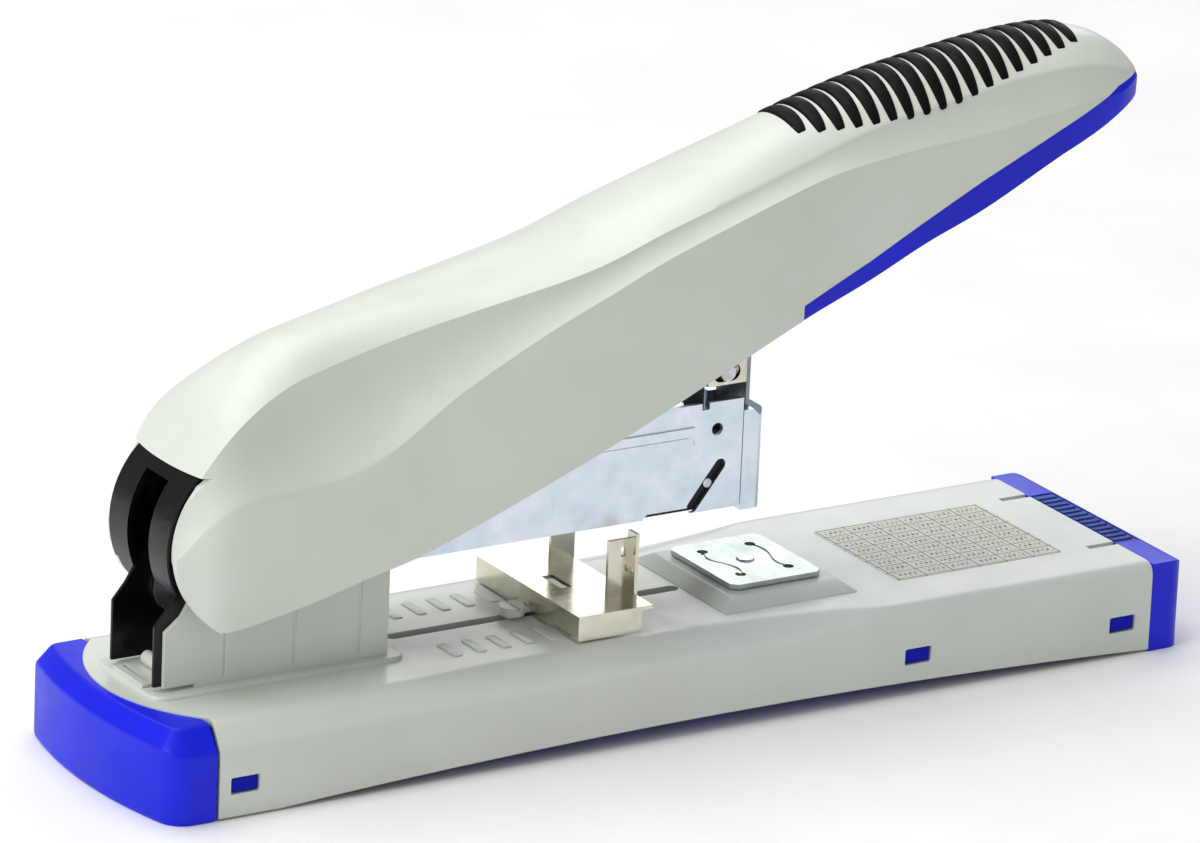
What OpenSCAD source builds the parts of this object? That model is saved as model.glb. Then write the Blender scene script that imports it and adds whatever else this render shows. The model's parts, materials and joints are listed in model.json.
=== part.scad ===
// Heavy-duty long-arm lever stapler. +X runs from the hinge end to the paper end,
// Z is up, the centre plane is y = 0 and the feet stand on z = 0. Sizes in mm.

/* [Base] */
// length of the base from bumper to end cap
base_l = 280; // [260:1:340]
// width of the base shell
base_w = 69; // [66:1:84]
// height of the working deck above the table
deck_z = 22.3; // [21:0.1:24]
// wall of the pressed base shell
shell_t = 1.4; // [1:0.1:1.8]
// height of the rubber feet
foot_h = 1.6; // [1:0.1:2]
// diameter of the rubber feet
foot_d = 12; // [8:0.5:16]
// lift of the skirt in the middle of the base
arch_h = 3.4; // [0:0.1:4.5]
// radius of the end bumper seen from above
bumper_r = 122; // [100:1:160]
// side window length
window_l = 7.4; // [5:0.1:9]
// side window height
window_h = 4; // [3:0.1:5]
// width of the guide slot in the deck
slot_w = 3.4; // [2.6:0.1:4.2]
// depth scale marks along the slot
scale_n = 5; // [2:1:7]

/* [Anvil and paper stop] */
// anvil plate length along the base
anvil_l = 25; // [20:0.5:26]
// anvil plate width across the base
anvil_w = 29; // [24:0.5:32]
// anvil plate thickness
anvil_t = 1.2; // [0.9:0.1:1.4]
// height of the raised pad under the anvil
pad_h = 2.6; // [1.6:0.1:3]
// width of the paper stop plate across the base
stop_w = 46; // [36:0.5:48]
// length of the paper stop plate along the base
stop_l = 20; // [16:0.5:24]
// height of the stop plate above the deck
stop_h = 6.6; // [5:0.1:7]
// sheet thickness of the paper stop
stop_t = 0.9; // [0.7:0.1:1.1]
// height of the paper stop uprights above the plate
upright_h = 15; // [10:0.5:16]

/* [Magazine arm] */
// distance from the hinge end of the base to the handle pivot
pivot_in = 36; // [32:0.5:40]
// distance from the handle pivot to the driver blade
reach = 134; // [120:1:146]
// outside width of the magazine
mag_w = 18; // [17.4:0.1:18.4]
// sheet thickness of the magazine walls
mag_t = 1; // [0.8:0.1:1.2]
// height of the magazine bottom in the open position
mag_z = 44; // [43:0.1:46]
// height of the magazine side walls at the head
mag_h = 26.5; // [24:0.1:27]
// outside crown of the staples
crown_w = 13; // [11:0.1:13]
// staple leg length
leg_l = 13; // [8:1:13]
// length of the loaded staple strip
strip_l = 52; // [20:1:60]
// driver blade thickness
blade_t = 1; // [0.8:0.05:1.2]
// hinge pin diameter of the arm
arm_pin_d = 4; // [3:0.1:5]

/* [Handle] */
// outside width of the handle at the hinge
handle_w = 40.8; // [40:0.2:46]
// outside width of the grip
grip_w = 34; // [30:0.2:36]
// wall of the handle shell
handle_t = 1.8; // [1.4:0.1:2.2]
// hinge pin diameter of the handle
handle_pin_d = 6; // [5:0.1:7]
// number of grip ribs
rib_n = 18; // [8:1:20]
// height of the grip ribs above the shell
rib_h = 0.6; // [0.3:0.1:0.9]
// bracket width outside the painted walls
bracket_w = 23.2; // [23:0.1:24]
// sheet thickness of the painted bracket
bracket_t = 1.2; // [1:0.1:1.3]

/* [Fits] */
// running clearance of a pin in its hole, on the radius
run = 0.06; // [0.03:0.01:0.1]
// side clearance between parts that pass each other
gap = 0.35; // [0.3:0.05:0.5]

/* [Hidden] */
fine = 96;

// stations along the base
x0 = -base_l / 2;
x1 = base_l / 2;
shell_x0 = x0 + 15.5;
shell_x1 = x1 - 11;
deck_end_r = 39;
px = x0 + pivot_in;
hz = 57;
ax = px - 8;
az = 40;
driver_x = px + reach;
anvil_x = driver_x + 5.8;
anvil_z = deck_z + pad_h + gap;
skirt_z = 0.6;
tray_z = foot_h;
tray_t = 1.6;
slot_x0 = px + 44;
slot_x1 = anvil_x - anvil_l / 2 - 7.8;
win_x = [x0 + 22.7, anvil_x + 27, x1 - 19];
win_z = [7.9, 9.6, 8.2];
foot_x = [x0 + 24, x1 - 26];
foot_y = base_w / 2 - 12;
bracket_x0 = x0 + 14;
frame_x0 = bracket_x0 - 2;
bracket_x1 = px + 36;
bracket_z = deck_z + 1.9;
br_o = bracket_w / 2;
br_i = br_o - bracket_t;
fr_o = br_i - 0.04;
fr_i = mag_w / 2 + gap - 0.05;
rivet_y = fr_i - 2.7;
stop_x = driver_x - 44;
stop_top = deck_z + stop_h;
up_y = mag_w / 2 + 3.2;
lever_i = br_o + 0.6;
lever_t = 1.3;
pin_x = driver_x - 6;
pin_z = 76.3;
drive_pin_d = 4;

// smooth table lookup between listed stations
function mix(t, x, i = 0) = x <= t[0][0] ? t[0][1] :
  i >= len(t) - 1 ? t[len(t) - 1][1] :
  x <= t[i + 1][0] ? t[i][1] + (t[i + 1][1] - t[i][1])
    * (1 - cos(180 * (x - t[i][0]) / (t[i + 1][0] - t[i][0]))) / 2 :
  mix(t, x, i + 1);
function arc(cx, cy, r, a0, a1, n) = [for (i = [0 : n])
  [cx + r * cos(a0 + (a1 - a0) * i / n), cy + r * sin(a0 + (a1 - a0) * i / n)]];

module side_cut(w) {
  rotate([90, 0, 0]) linear_extrude(w, center = true) children();
}
module rod_y(x, z, d, l) {
  translate([x, 0, z]) rotate([90, 0, 0]) cylinder(d = d, h = l, center = true, $fn = fine);
}
module block(x0, x1, y0, y1, z0, z1) {
  translate([x0, y0, z0]) cube([x1 - x0, y1 - y0, z1 - z0]);
}

// ---------- base ----------
half_w = base_w / 2;
deck_tab = [[shell_x0, 30], [px + 30, 27.4], [px + 60, 25.2], [anvil_x - 18, 25.2],
  [anvil_x + 4, 28], [anvil_x + 22, 33], [x1, 33.2]];
edge_tab = [[shell_x0, 16.6], [px + 60, 17.9], [anvil_x - 18, 19], [anvil_x + 22, 21], [x1, 21]];
wide = base_w / 69;
function deck_half(x) = mix(deck_tab, x) * wide;
function edge_z(x) = mix(edge_tab, x) + deck_z - 22.3;
function body_section(x, t) = [[-half_w + t, -5], [-half_w + t, edge_z(x) - t * 0.4],
  [-deck_half(x) + t * 0.4, deck_z - t], [deck_half(x) - t * 0.4, deck_z - t],
  [half_w - t, edge_z(x) - t * 0.4], [half_w - t, -5]];
body_x = concat([shell_x0 - 16], [for (p = deck_tab) p[0]]);
module body_form(t) {
  for (i = [0 : len(body_x) - 2]) {
    a = body_x[i];
    b = body_x[i + 1];
    sa = body_section(a, t);
    sb = body_section(b, t);
    polyhedron(points = concat([for (p = sa) [a, p[0], p[1]]], [for (p = sb) [b, p[0], p[1]]]),
      faces = concat([[5, 4, 3, 2, 1, 0], [6, 7, 8, 9, 10, 11]],
        [for (j = [0 : 5]) [j, (j + 1) % 6, (j + 1) % 6 + 6]],
        [for (j = [0 : 5]) [j, (j + 1) % 6 + 6, j + 6]]));
  }
}
module deck_outline(inset) {
  xr = x0 + 5 + inset;
  difference() {
    translate([xr, -half_w - 1]) square([shell_x1 - xr, base_w + 2]);
    difference() {
      translate([xr - 1, -half_w - 2]) square([shell_x0 - xr + 1, base_w + 4]);
      translate([xr + deck_end_r, 0]) circle(r = deck_end_r, $fn = fine * 2);
    }
  }
}
module window_holes(grow) {
  for (i = [0 : 2])
    translate([win_x[i] - window_l / 2 - grow, -half_w - 3, win_z[i] - window_h / 2 - grow])
      cube([window_l + 2 * grow, base_w + 6, window_h + 2 * grow]);
}
arch_c = (x0 + x1) / 2 + 10;
arch_half = base_l / 2 - 22;
arch_r = (arch_half * arch_half + arch_h * arch_h) / (2 * arch_h);
module base_shell() {
  color([0.88, 0.88, 0.84]) difference() {
    union() {
      intersection() {
        body_form(0);
        translate([0, 0, skirt_z]) linear_extrude(40) deck_outline(0);
      }
      // raised ramp that carries the hinge bracket
      block(bracket_x0 - 4, bracket_x1 + 4, -14.6, 14.6, deck_z - 0.5, bracket_z - 1);
    }
    intersection() {
      body_form(shell_t);
      translate([0, 0, -1]) linear_extrude(deck_z - shell_t + 1) deck_outline(-20);
    }
    // lifted skirt
    translate([arch_c, 0, arch_h + skirt_z - arch_r]) rotate([90, 0, 0])
      cylinder(r = arch_r, h = base_w + 4, center = true, $fn = 720);
    window_holes(0);
    // guide slot and its wide middle
    translate([0, 0, deck_z - 4]) linear_extrude(8) hull_slot(slot_x0, slot_x1, slot_w);
    for (i = [0 : scale_n - 1])
      translate([slot_x0 + 6 + i * 6.5, -18, deck_z - 0.3]) cube([3, 8, 1]);
    // openings that seat the bracket feet and the anvil pivot
    for (s = [-1, 1]) translate([0, s * rivet_y, 0])
      for (x = [bracket_x0 + 12, bracket_x1 - 10])
        translate([x, 0, deck_z - 6]) cylinder(d = 3.2, h = 12, $fn = fine);
    translate([anvil_x, 0, deck_z - 6]) cylinder(d = 5, h = 12, $fn = fine);
    // grooves at the ends of the cap strip
    for (s = [-1, 1]) translate([x1 - 19, s * 18.4 * wide - 0.8, deck_z - 0.6]) cube([9, 1.6, 2]);
  }
}
module hull_slot(a, b, w) {
  translate([a, -w / 2]) square([b - a, w]);
  for (x = [a, b]) translate([x, 0]) circle(d = w, $fn = fine);
}

module base_tray() {
  tw = half_w - shell_t - 0.3;
  floor_z = tray_z + arch_h - 0.2;
  color([0.1, 0.2, 0.85]) difference() {
    union() {
      // floor, held above the lifted skirt
      block(shell_x0 + 1, shell_x1 - 0.5, -tw, tw, floor_z, floor_z + tray_t);
      for (s = [-1, 1]) {
        ys = s > 0 ? tw - 1.4 : -tw;
        block(shell_x0 + 1, shell_x1 - 0.5, ys, ys + 1.4, floor_z, floor_z + 4);
        for (i = [0 : 2]) {
          block(win_x[i] - window_l / 2 - 1, win_x[i] + window_l / 2 + 1, ys, ys + 1.4,
            floor_z, win_z[i] + window_h / 2 + 1);
          // lug that shows in the window
          block(win_x[i] - window_l / 2 + 0.4, win_x[i] + window_l / 2 - 0.4,
            s > 0 ? tw - 0.1 : -half_w + 0.5, s > 0 ? half_w - 0.5 : -tw + 0.1,
            win_z[i] - window_h / 2 + 0.4, win_z[i] + window_h / 2 - 0.4);
        }
      }
      for (x = foot_x) for (s = [-1, 1]) translate([x, s * foot_y, 0]) {
        translate([0, 0, tray_z]) cylinder(d = foot_d, h = floor_z - tray_z + 0.5, $fn = fine);
        translate([0, 0, floor_z]) cylinder(d = 7, h = deck_z - shell_t - floor_z - 0.4, $fn = fine);
      }
      for (x = [slot_x0 + 4, 0, anvil_x + 20]) block(x - 0.8, x + 0.8, -tw, tw, floor_z, floor_z + 5);
    }
    for (x = foot_x) for (s = [-1, 1]) translate([x, s * foot_y, -1]) {
      cylinder(d = 3, h = deck_z, $fn = fine);
      cylinder(d = 5.6, h = 1 + tray_z + 1, $fn = fine);
    }
  }
}
module rubber_feet() {
  color([0.15, 0.15, 0.16]) for (x = foot_x) for (s = [-1, 1]) translate([x, s * foot_y, 0])
    difference() {
      cylinder(d1 = foot_d - 1.2, d2 = foot_d, h = foot_h, $fn = fine);
      translate([0, 0, -1]) cylinder(d = 5.6, h = foot_h + 2, $fn = fine);
    }
}
module tray_screws() {
  color([0.7, 0.7, 0.72]) for (x = foot_x) for (s = [-1, 1]) translate([x, s * foot_y, 0]) {
    difference() {
      translate([0, 0, tray_z - 0.8]) cylinder(d = 5.2, h = 1.7, $fn = fine);
      translate([0, 0, tray_z - 1]) block(-1.8, 1.8, -0.4, 0.4, 0, 0.8);
      translate([0, 0, tray_z - 1]) block(-0.4, 0.4, -1.8, 1.8, 0, 0.8);
    }
    translate([0, 0, tray_z + 0.8]) cylinder(d = 2.9, h = 12, $fn = fine);
  }
}
// outer plan of a rounded end: a shallow arc with rounded corners; dir is the way inwards
module end_plan(xe, dir, r, sag, cr, xin, hw) {
  intersection() {
    translate([xe + dir * r, 0]) circle(r = r, $fn = 720);
    translate([min(xe, xin), -hw]) square([abs(xin - xe), 2 * hw]);
    union() {
      translate([min(xe, xin), -hw + cr]) square([abs(xin - xe), 2 * (hw - cr)]);
      translate([dir > 0 ? xe + sag + cr : xin, -hw]) square([abs(xin - xe) - sag - cr, 2 * hw]);
      for (s = [-1, 1]) translate([xe + dir * (cr + sag), s * (hw - cr)]) circle(r = cr, $fn = fine);
    }
  }
}
module hinge_end_bumper() {
  color([0.1, 0.2, 0.85]) difference() {
    intersection() {
      linear_extrude(deck_z - 0.3) end_plan(x0, 1, bumper_r, 3.4, 6.5, shell_x0 - 0.1, half_w);
      // sloped band round the top edge
      translate([x0 + bumper_r, 0, -1]) union() {
        cylinder(r = bumper_r + 1, h = deck_z - 4, $fn = 720);
        translate([0, 0, deck_z - 4]) cylinder(r1 = bumper_r, r2 = bumper_r - 4, h = 5.2, $fn = 720);
      }
      body_form(0.05);
    }
    // seat of the deck's rounded end, and the hollow below it
    translate([x0 + 4.9 + deck_end_r, 0, -1]) cylinder(r = deck_end_r, h = deck_z + 5, $fn = fine * 2);
    translate([0, 0, -1]) linear_extrude(deck_z - 3)
      end_plan(x0 + 2.2, 1, bumper_r - 2.2, 3.4, 4.5, shell_x0 + 4, half_w - 2.2);
  }
}
module paper_end_cap() {
  color([0.1, 0.2, 0.85]) difference() {
    intersection() {
      linear_extrude(deck_z - 0.2) end_plan(x1, -1, 420, 1.2, 4.5, shell_x1 + 0.1, half_w);
      side_cut(base_w + 2) union() {
        square_xz(x0, x1 - 5, -1, deck_z);
        translate([x1 - 5, deck_z - 5.2]) circle(r = 5, $fn = fine);
        square_xz(x1 - 6, x1 + 1, -1, deck_z - 5.2);
      }
    }
    translate([shell_x1 - 1, -half_w + 2, -1]) cube([9.6, base_w - 4, deck_z - 1.2]);
    translate([shell_x1 - 1, -18.4 * wide, deck_z - 2.2]) cube([7.2 + 1, 36.8 * wide, 4]);
  }
}
module square_xz(xa, xb, za, zb) {
  translate([xa, za]) square([xb - xa, zb - za]);
}
module cap_grip_strip() {
  color([0.05, 0.07, 0.3]) difference() {
    block(shell_x1 + 0.2, shell_x1 + 7, -18.3 * wide, 18.3 * wide, deck_z - 1.1, deck_z - 0.1);
    for (i = [-9 : 9]) translate([shell_x1 + 1, i * 1.9 * wide - 0.35, deck_z - 0.5])
      cube([5.2, 0.7, 2]);
  }
}
module rating_label() {
  color([0.93, 0.93, 0.9]) translate([anvil_x + 31, -18.5, deck_z]) cube([47, 37, 0.12]);
}
module anvil_pad() {
  color([0.88, 0.88, 0.84]) difference() {
    intersection() {
      side_cut(60) polygon([[anvil_x - 18.5, deck_z], [anvil_x - 15, deck_z + pad_h],
        [anvil_x + 15, deck_z + pad_h], [anvil_x + 18.5, deck_z]]);
      translate([anvil_x - 30, 0, 0]) rotate([90, 0, 90]) linear_extrude(60)
        polygon([[-21, deck_z], [-16.6, deck_z + pad_h], [16.6, deck_z + pad_h], [21, deck_z]]);
    }
    translate([anvil_x, 0, deck_z - 1]) cylinder(d = 5, h = 8, $fn = fine);
  }
}
module anvil_plate() {
  color([0.8, 0.82, 0.83]) difference() {
    translate([anvil_x, 0, anvil_z]) linear_extrude(anvil_t) difference() {
      square([anvil_l, anvil_w], center = true);
      for (a = [-1, 1]) for (b = [-1, 1])
        translate([a * anvil_l / 2, b * anvil_w / 2]) rotate(45) square(2.4, center = true);
    }
    translate([anvil_x, 0, anvil_z - 1]) cylinder(d = 3.2, h = 4, $fn = fine);
    // clinch pockets: one curved pair and one straight pair
    for (s = [-1, 1]) {
      translate([driver_x + 0.2 - blade_t, s * 3.4 - 3, anvil_z + anvil_t - 0.45])
        cube([2 * blade_t, 6, 1]);
      translate([2 * anvil_x - driver_x - 0.2 - blade_t, s * 5.4 - 3.4, anvil_z + anvil_t - 0.45])
        cube([2 * blade_t, 6.8, 1]);
    }
  }
}
module anvil_pivot() {
  color([0.75, 0.75, 0.76]) translate([anvil_x, 0, 0]) {
    translate([0, 0, anvil_z + anvil_t]) cylinder(d1 = 4.6, d2 = 3.8, h = 0.4, $fn = fine);
    translate([0, 0, deck_z - 3]) cylinder(d = 3.1, h = anvil_z + anvil_t - deck_z + 3, $fn = fine);
    translate([0, 0, deck_z - 4.2]) cylinder(d = 6.4, h = 1.2, $fn = fine);
  }
}

// ---------- paper stop ----------
module paper_stop_plate() {
  sx0 = stop_x - stop_l / 2;
  sx1 = stop_x + stop_l / 2;
  z1 = stop_top;
  z0 = z1 - stop_t;
  color([0.82, 0.8, 0.72]) difference() {
    union() {
      block(sx0, sx1, -stop_w / 2, stop_w / 2, z0, z1);
      // folded skirts at the hinge side
      block(sx0, sx0 + stop_t, -stop_w / 2, stop_w / 2, deck_z + 0.6, z1);
      for (s = [-1, 1]) {
        ya = s > 0 ? up_y : -up_y - 3.6;
        // upright with a stepped top, folded from the paper side
        block(sx1 - stop_t, sx1, ya, ya + 3.6, z0, z1 + upright_h);
        block(sx1 - 6.5, sx1, s > 0 ? up_y : -up_y - stop_t, s > 0 ? up_y + stop_t : -up_y,
          z0, z1 + upright_h - 1.8);
        // end skirt
        block(sx0, sx1 - 3, s > 0 ? stop_w / 2 - stop_t : -stop_w / 2,
          s > 0 ? stop_w / 2 : -stop_w / 2 + stop_t, deck_z + 0.6, z1);
      }
      // centre leg that carries the guide block
      block(stop_x - 5, stop_x - 5 + stop_t, -1.4, 1.4, deck_z - 3.4, z1);
    }
    translate([stop_x - 3.6, -4.4, z0 - 1]) cube([3, 8.8, 4]);
    block(sx0 - 1, sx0 + 2, -1.6, 1.6, deck_z, deck_z + 2.2);
    for (s = [-1, 1]) translate([sx1 - 0.45, s * (up_y + 1.9), z1 + 5.5]) rotate([0, 90, 0])
      cylinder(d = 1.7, h = 4, center = true, $fn = fine);
    translate([sx1 - 3.1, -stop_w, z1 + upright_h - 6]) cube([1.2, 2 * stop_w, 2.4]);
  }
}
module paper_stop_lock() {
  color([0.92, 0.92, 0.9]) {
    difference() {
      union() {
        translate([stop_x - stop_l / 2 - 4, 0, deck_z + 0.5]) cylinder(d = 6, h = 2.2, $fn = fine);
        block(stop_x - stop_l / 2 - 4, stop_x - 5.4, -1.3, 1.3, deck_z + 0.7, deck_z + 1.9);
      }
      translate([stop_x - stop_l / 2 - 4.4, -4, deck_z + 2]) cube([0.8, 8, 2]);
    }
    translate([stop_x - stop_l / 2 - 4, 0, deck_z - 4]) cylinder(d = slot_w - 0.6, h = 5, $fn = fine);
    translate([stop_x - stop_l / 2 - 4, 0, deck_z - shell_t - 2.4]) cylinder(d = 8, h = 2, $fn = fine);
  }
}

// ---------- hinge bracket ----------
module bracket_side(grow, top) {
  polygon(concat([[bracket_x0, bracket_z], [bracket_x0, bracket_z + 13.2],
    [bracket_x0 + 4, bracket_z + 16.4]],
    arc(px, hz, 9 + grow, 190, 30, 14),
    [[px + 24, top], [bracket_x1, top - 3], [bracket_x1, bracket_z]]));
}
module hinge_bracket() {
  color([0.88, 0.88, 0.84]) difference() {
    union() {
      for (s = [-1, 1]) translate([0, s * (br_o - bracket_t / 2), 0])
        side_cut(bracket_t) bracket_side(0, 49);
      // foot plate on the raised ramp
      block(bracket_x0 + 8, bracket_x1, -br_o, br_o, bracket_z - 1, bracket_z);
      // front return edge of the near and far wall
      for (s = [-1, 1]) block(bracket_x1 - bracket_t, bracket_x1, s > 0 ? 9.6 : -br_o,
        s > 0 ? br_o : -9.6, bracket_z, 42);
    }
    rod_y(px, hz, handle_pin_d + 2 * run, 60);
    rod_y(ax, az, arm_pin_d + 2 * run, 60);
    // pressed grooves
    for (s = [-1, 1]) for (x = [bracket_x0 + 15.5, bracket_x0 + 33.5, bracket_x0 + 50.5])
      translate([x, s * (br_o + 0.15), bracket_z + 1]) cylinder(d = 1, h = 40, $fn = 24);
    for (s = [-1, 1]) for (x = [bracket_x0 + 12, bracket_x1 - 10])
      translate([x, s * rivet_y, deck_z - 6]) cylinder(d = 3.2, h = 12, $fn = fine);
  }
}
module inner_hinge_frame() {
  color([0.08, 0.08, 0.08]) difference() {
    union() {
      for (s = [-1, 1]) translate([0, s * (fr_o + fr_i) / 2, 0]) side_cut(fr_o - fr_i)
        polygon(concat([[frame_x0, bracket_z], [frame_x0, bracket_z + 14.4],
          [frame_x0 + 3, bracket_z + 18]], arc(px, hz, 11, 175, 30, 14),
          [[px + 16, 48], [px + 20, bracket_z]]));
      block(px - 2, px + 16, -fr_o, fr_o, bracket_z, bracket_z + 1.4);
    }
    rod_y(px, hz, handle_pin_d + 2 * run, 60);
    rod_y(ax, az, arm_pin_d + 2 * run, 60);
  }
}
module bracket_rivets() {
  color([0.8, 0.8, 0.8]) for (s = [-1, 1]) for (x = [bracket_x0 + 12, bracket_x1 - 10])
    translate([x, s * rivet_y, 0]) {
      translate([0, 0, deck_z - shell_t - 1.2]) cylinder(d = 5, h = 1.2, $fn = fine);
      translate([0, 0, deck_z - shell_t - 1])
        cylinder(d = 3.1, h = bracket_z - deck_z + shell_t + 1, $fn = fine);
      translate([0, 0, bracket_z]) cylinder(d1 = 4.8, d2 = 3.4, h = 0.9, $fn = fine);
    }
}
module arm_hinge_pin() {
  color([0.75, 0.75, 0.76]) {
    rod_y(ax, az, arm_pin_d, bracket_w + 0.2);
    for (s = [-1, 1]) translate([0, s * (br_o + 0.25), 0]) rod_y(ax, az, arm_pin_d + 1.6, 0.4);
  }
}
module handle_hinge_pin() {
  color([0.75, 0.75, 0.76]) rod_y(px, hz, handle_pin_d, 2 * (lever_i + lever_t + 0.9));
}
module bracket_tab() {
  color([0.88, 0.88, 0.84]) {
    difference() {
      block(bracket_x0 - 3, bracket_x0 + 6.4, -7, 7, bracket_z - 1, bracket_z - 0.1);
      translate([bracket_x0 - 1, -6, bracket_z - 2]) cube([1, 12, 4]);
    }
    translate([bracket_x0 + 4.4, 0, bracket_z + 1.5]) rotate([90, 0, 0]) difference() {
      cylinder(d = 3.4, h = 9, center = true, $fn = fine);
      cylinder(d = 1.4, h = 12, center = true, $fn = fine);
    }
  }
}

// ---------- magazine arm ----------
mw = mag_w / 2;
rail_w = crown_w - 1.6;
crown_top = mag_z + 0.9 + leg_l + 0.4;
head_x = driver_x + blade_t / 2 + 3;
seam_x = driver_x - blade_t / 2 - 2;
module cover_side() {
  polygon(concat(arc(ax, az, 6, 250, 130, 10),
    [[px - 4, hz - 9.5], [px + 8, hz - 7.5], [px + 20, hz + 0.5], [px + 54, mag_z + 16],
    [driver_x - 60, mag_z + 21], [driver_x - 24, mag_z + mag_h], [seam_x - 0.1, mag_z + mag_h],
    [seam_x - 0.1, mag_z], [driver_x - 16, mag_z], [driver_x - 17, mag_z + 1.4],
    [driver_x - 28, mag_z + 1.4], [driver_x - 29, mag_z + 0.2], [px + 40, mag_z + 0.2],
    [ax + 16, az - 3]]));
}
module magazine_cover() {
  slot_dx = 7.2;
  slot_dz = 9.3;
  color([0.72, 0.77, 0.84]) difference() {
    union() {
      for (s = [-1, 1]) translate([0, s * (mw - mag_t / 2), 0]) side_cut(mag_t) cover_side();
      // cross strap that rests on the lift spring
      block(px + 17, px + 27, -mw, mw, mag_z - 2, mag_z - 1.2);
      // embossed bead along each wall
      for (s = [-1, 1]) translate([0, s * mw, 0]) rotate([0, 90, 0])
        translate([-(mag_z + 19), 0, driver_x - 66]) intersection() {
          rotate(45) cylinder(r = 2.2, h = 50, $fn = fine);
          translate([-3, -0.5, 0]) cube([6, 1, 60]);
        }
    }
    rod_y(ax, az, arm_pin_d + 2 * run, 60);
    rod_y(driver_x - 34, mag_z + 23.1, 2.1, 60);
    rod_y(rail_x0 - 2, mag_z + 3, 2.1, 60);
    // sight hole, notches and the slanted guide slot
    rod_y(driver_x - 9.6, mag_z + 19.8, 3, 60);
    for (x = [driver_x - 14, driver_x - 29]) block(x, x + 2, -20, 20, mag_z + mag_h - 1.6, mag_z + 40);
    side_cut(60) {
      translate([driver_x - 15.6, mag_z + 1.6]) rotate(atan2(slot_dz, slot_dx))
        hull_slot(0, norm([slot_dx, slot_dz]), 2.9);
    }
  }
}
module nose_plate() {
  xb = driver_x + blade_t / 2 + 0.3;
  color([0.72, 0.77, 0.84]) difference() {
    translate([0, 0, mag_z - 1.2]) linear_extrude(mag_h - 2) difference() {
      union() {
        translate([seam_x + 0.1, -mw]) square([head_x - 2.2 - seam_x, 2 * mw]);
        translate([seam_x + 0.1, -mw + 2.2]) square([head_x - seam_x, 2 * mw - 4.4]);
        for (s = [-1, 1]) translate([head_x - 2.2, s * (mw - 2.2)]) circle(r = 2.2, $fn = fine);
      }
      translate([seam_x - 1, -crown_w / 2 - 0.25]) square([xb - seam_x + 1, crown_w + 0.5]);
    }
    // round-over at the top of the nose
    translate([head_x - 1.4, -20, mag_z + mag_h - 5]) rotate([0, -45, 0]) cube([6, 40, 6]);
  }
}
rail_x0 = px + 13;
rod_z = mag_z + 6.2;
rod_d = 2.4;
module inner_channel() {
  xb = driver_x - 3.1;
  ci = crown_w / 2 + 0.25;
  co = mw - mag_t - 0.1;
  color([0.2, 0.2, 0.22]) difference() {
    block(px + 28, xb, -co, co, mag_z + 0.3, crown_top - 0.2);
    block(px + 27, xb + 1, -ci, ci, mag_z + 1.2, crown_top + 1);
  }
}
module staple_rail() {
  rw = rail_w / 2;
  xb = driver_x - blade_t / 2 - 0.4;
  zt = crown_top - 0.75;
  color([0.5, 0.52, 0.55]) difference() {
    block(rail_x0, xb, -rw, rw, mag_z + 1.2, zt);
    block(rail_x0 - 1, xb - 5, -rw + 1, rw - 1, mag_z, zt - 1);
    translate([rail_x0 + 5, -1.6, zt - 2]) cube([xb - strip_l - rail_x0 - 5, 3.2, 4]);
    translate([xb - 9, 0, rod_z]) rotate([0, 90, 0]) cylinder(d = rod_d + 0.1, h = 7, $fn = fine);
  }
}
module top_guard() {
  yg = mw - mag_t - 0.1;
  zt = mag_z + mag_h;
  color([0.85, 0.78, 0.6]) {
    // strip that closes the magazine above the crowns, bent up towards the driver
    block(px + 60, driver_x - 13, -yg, yg, crown_top + 0.5, crown_top + 1.3);
    block(driver_x - 24, driver_x - 22.8, -yg, yg, crown_top + 0.5, zt + 0.6);
  }
}
module rail_end_block() {
  color([0.2, 0.2, 0.22]) difference() {
    block(rail_x0 - 4, rail_x0, -mw + mag_t + 0.1, mw - mag_t - 0.1, mag_z + 1.2, mag_z + 8.6);
    translate([rail_x0 - 10, 0, rod_z]) rotate([0, 90, 0]) cylinder(d = rod_d + 0.1, h = 20, $fn = fine);
    rod_y(rail_x0 - 2, mag_z + 3, 2.1, 60);
  }
}
module guide_rod() {
  color([0.8, 0.8, 0.82]) translate([rail_x0 - 4, 0, rod_z]) rotate([0, 90, 0])
    cylinder(d = rod_d, h = driver_x - 4 - rail_x0 + 4, $fn = fine);
}
push_x = driver_x - blade_t / 2 - 0.4 - strip_l - 0.1;
module staple_pusher() {
  zt = crown_top - 0.75;
  color([0.3, 0.32, 0.35]) difference() {
    block(push_x - 9, push_x, -crown_w / 2, crown_w / 2, mag_z + 1.4, crown_top);
    difference() {
      block(push_x - 10, push_x + 1, -rail_w / 2 - 0.1, rail_w / 2 + 0.1, mag_z, zt + 0.12);
      block(push_x - 9, push_x, -1.3, 1.3, rod_z, zt + 1);
      block(push_x - 9, push_x, -3.4, 3.4, rod_z - 3, zt - 1.4);
    }
    translate([push_x - 20, 0, rod_z]) rotate([0, 90, 0]) cylinder(d = 2.52, h = 40, $fn = fine);
  }
}
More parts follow.
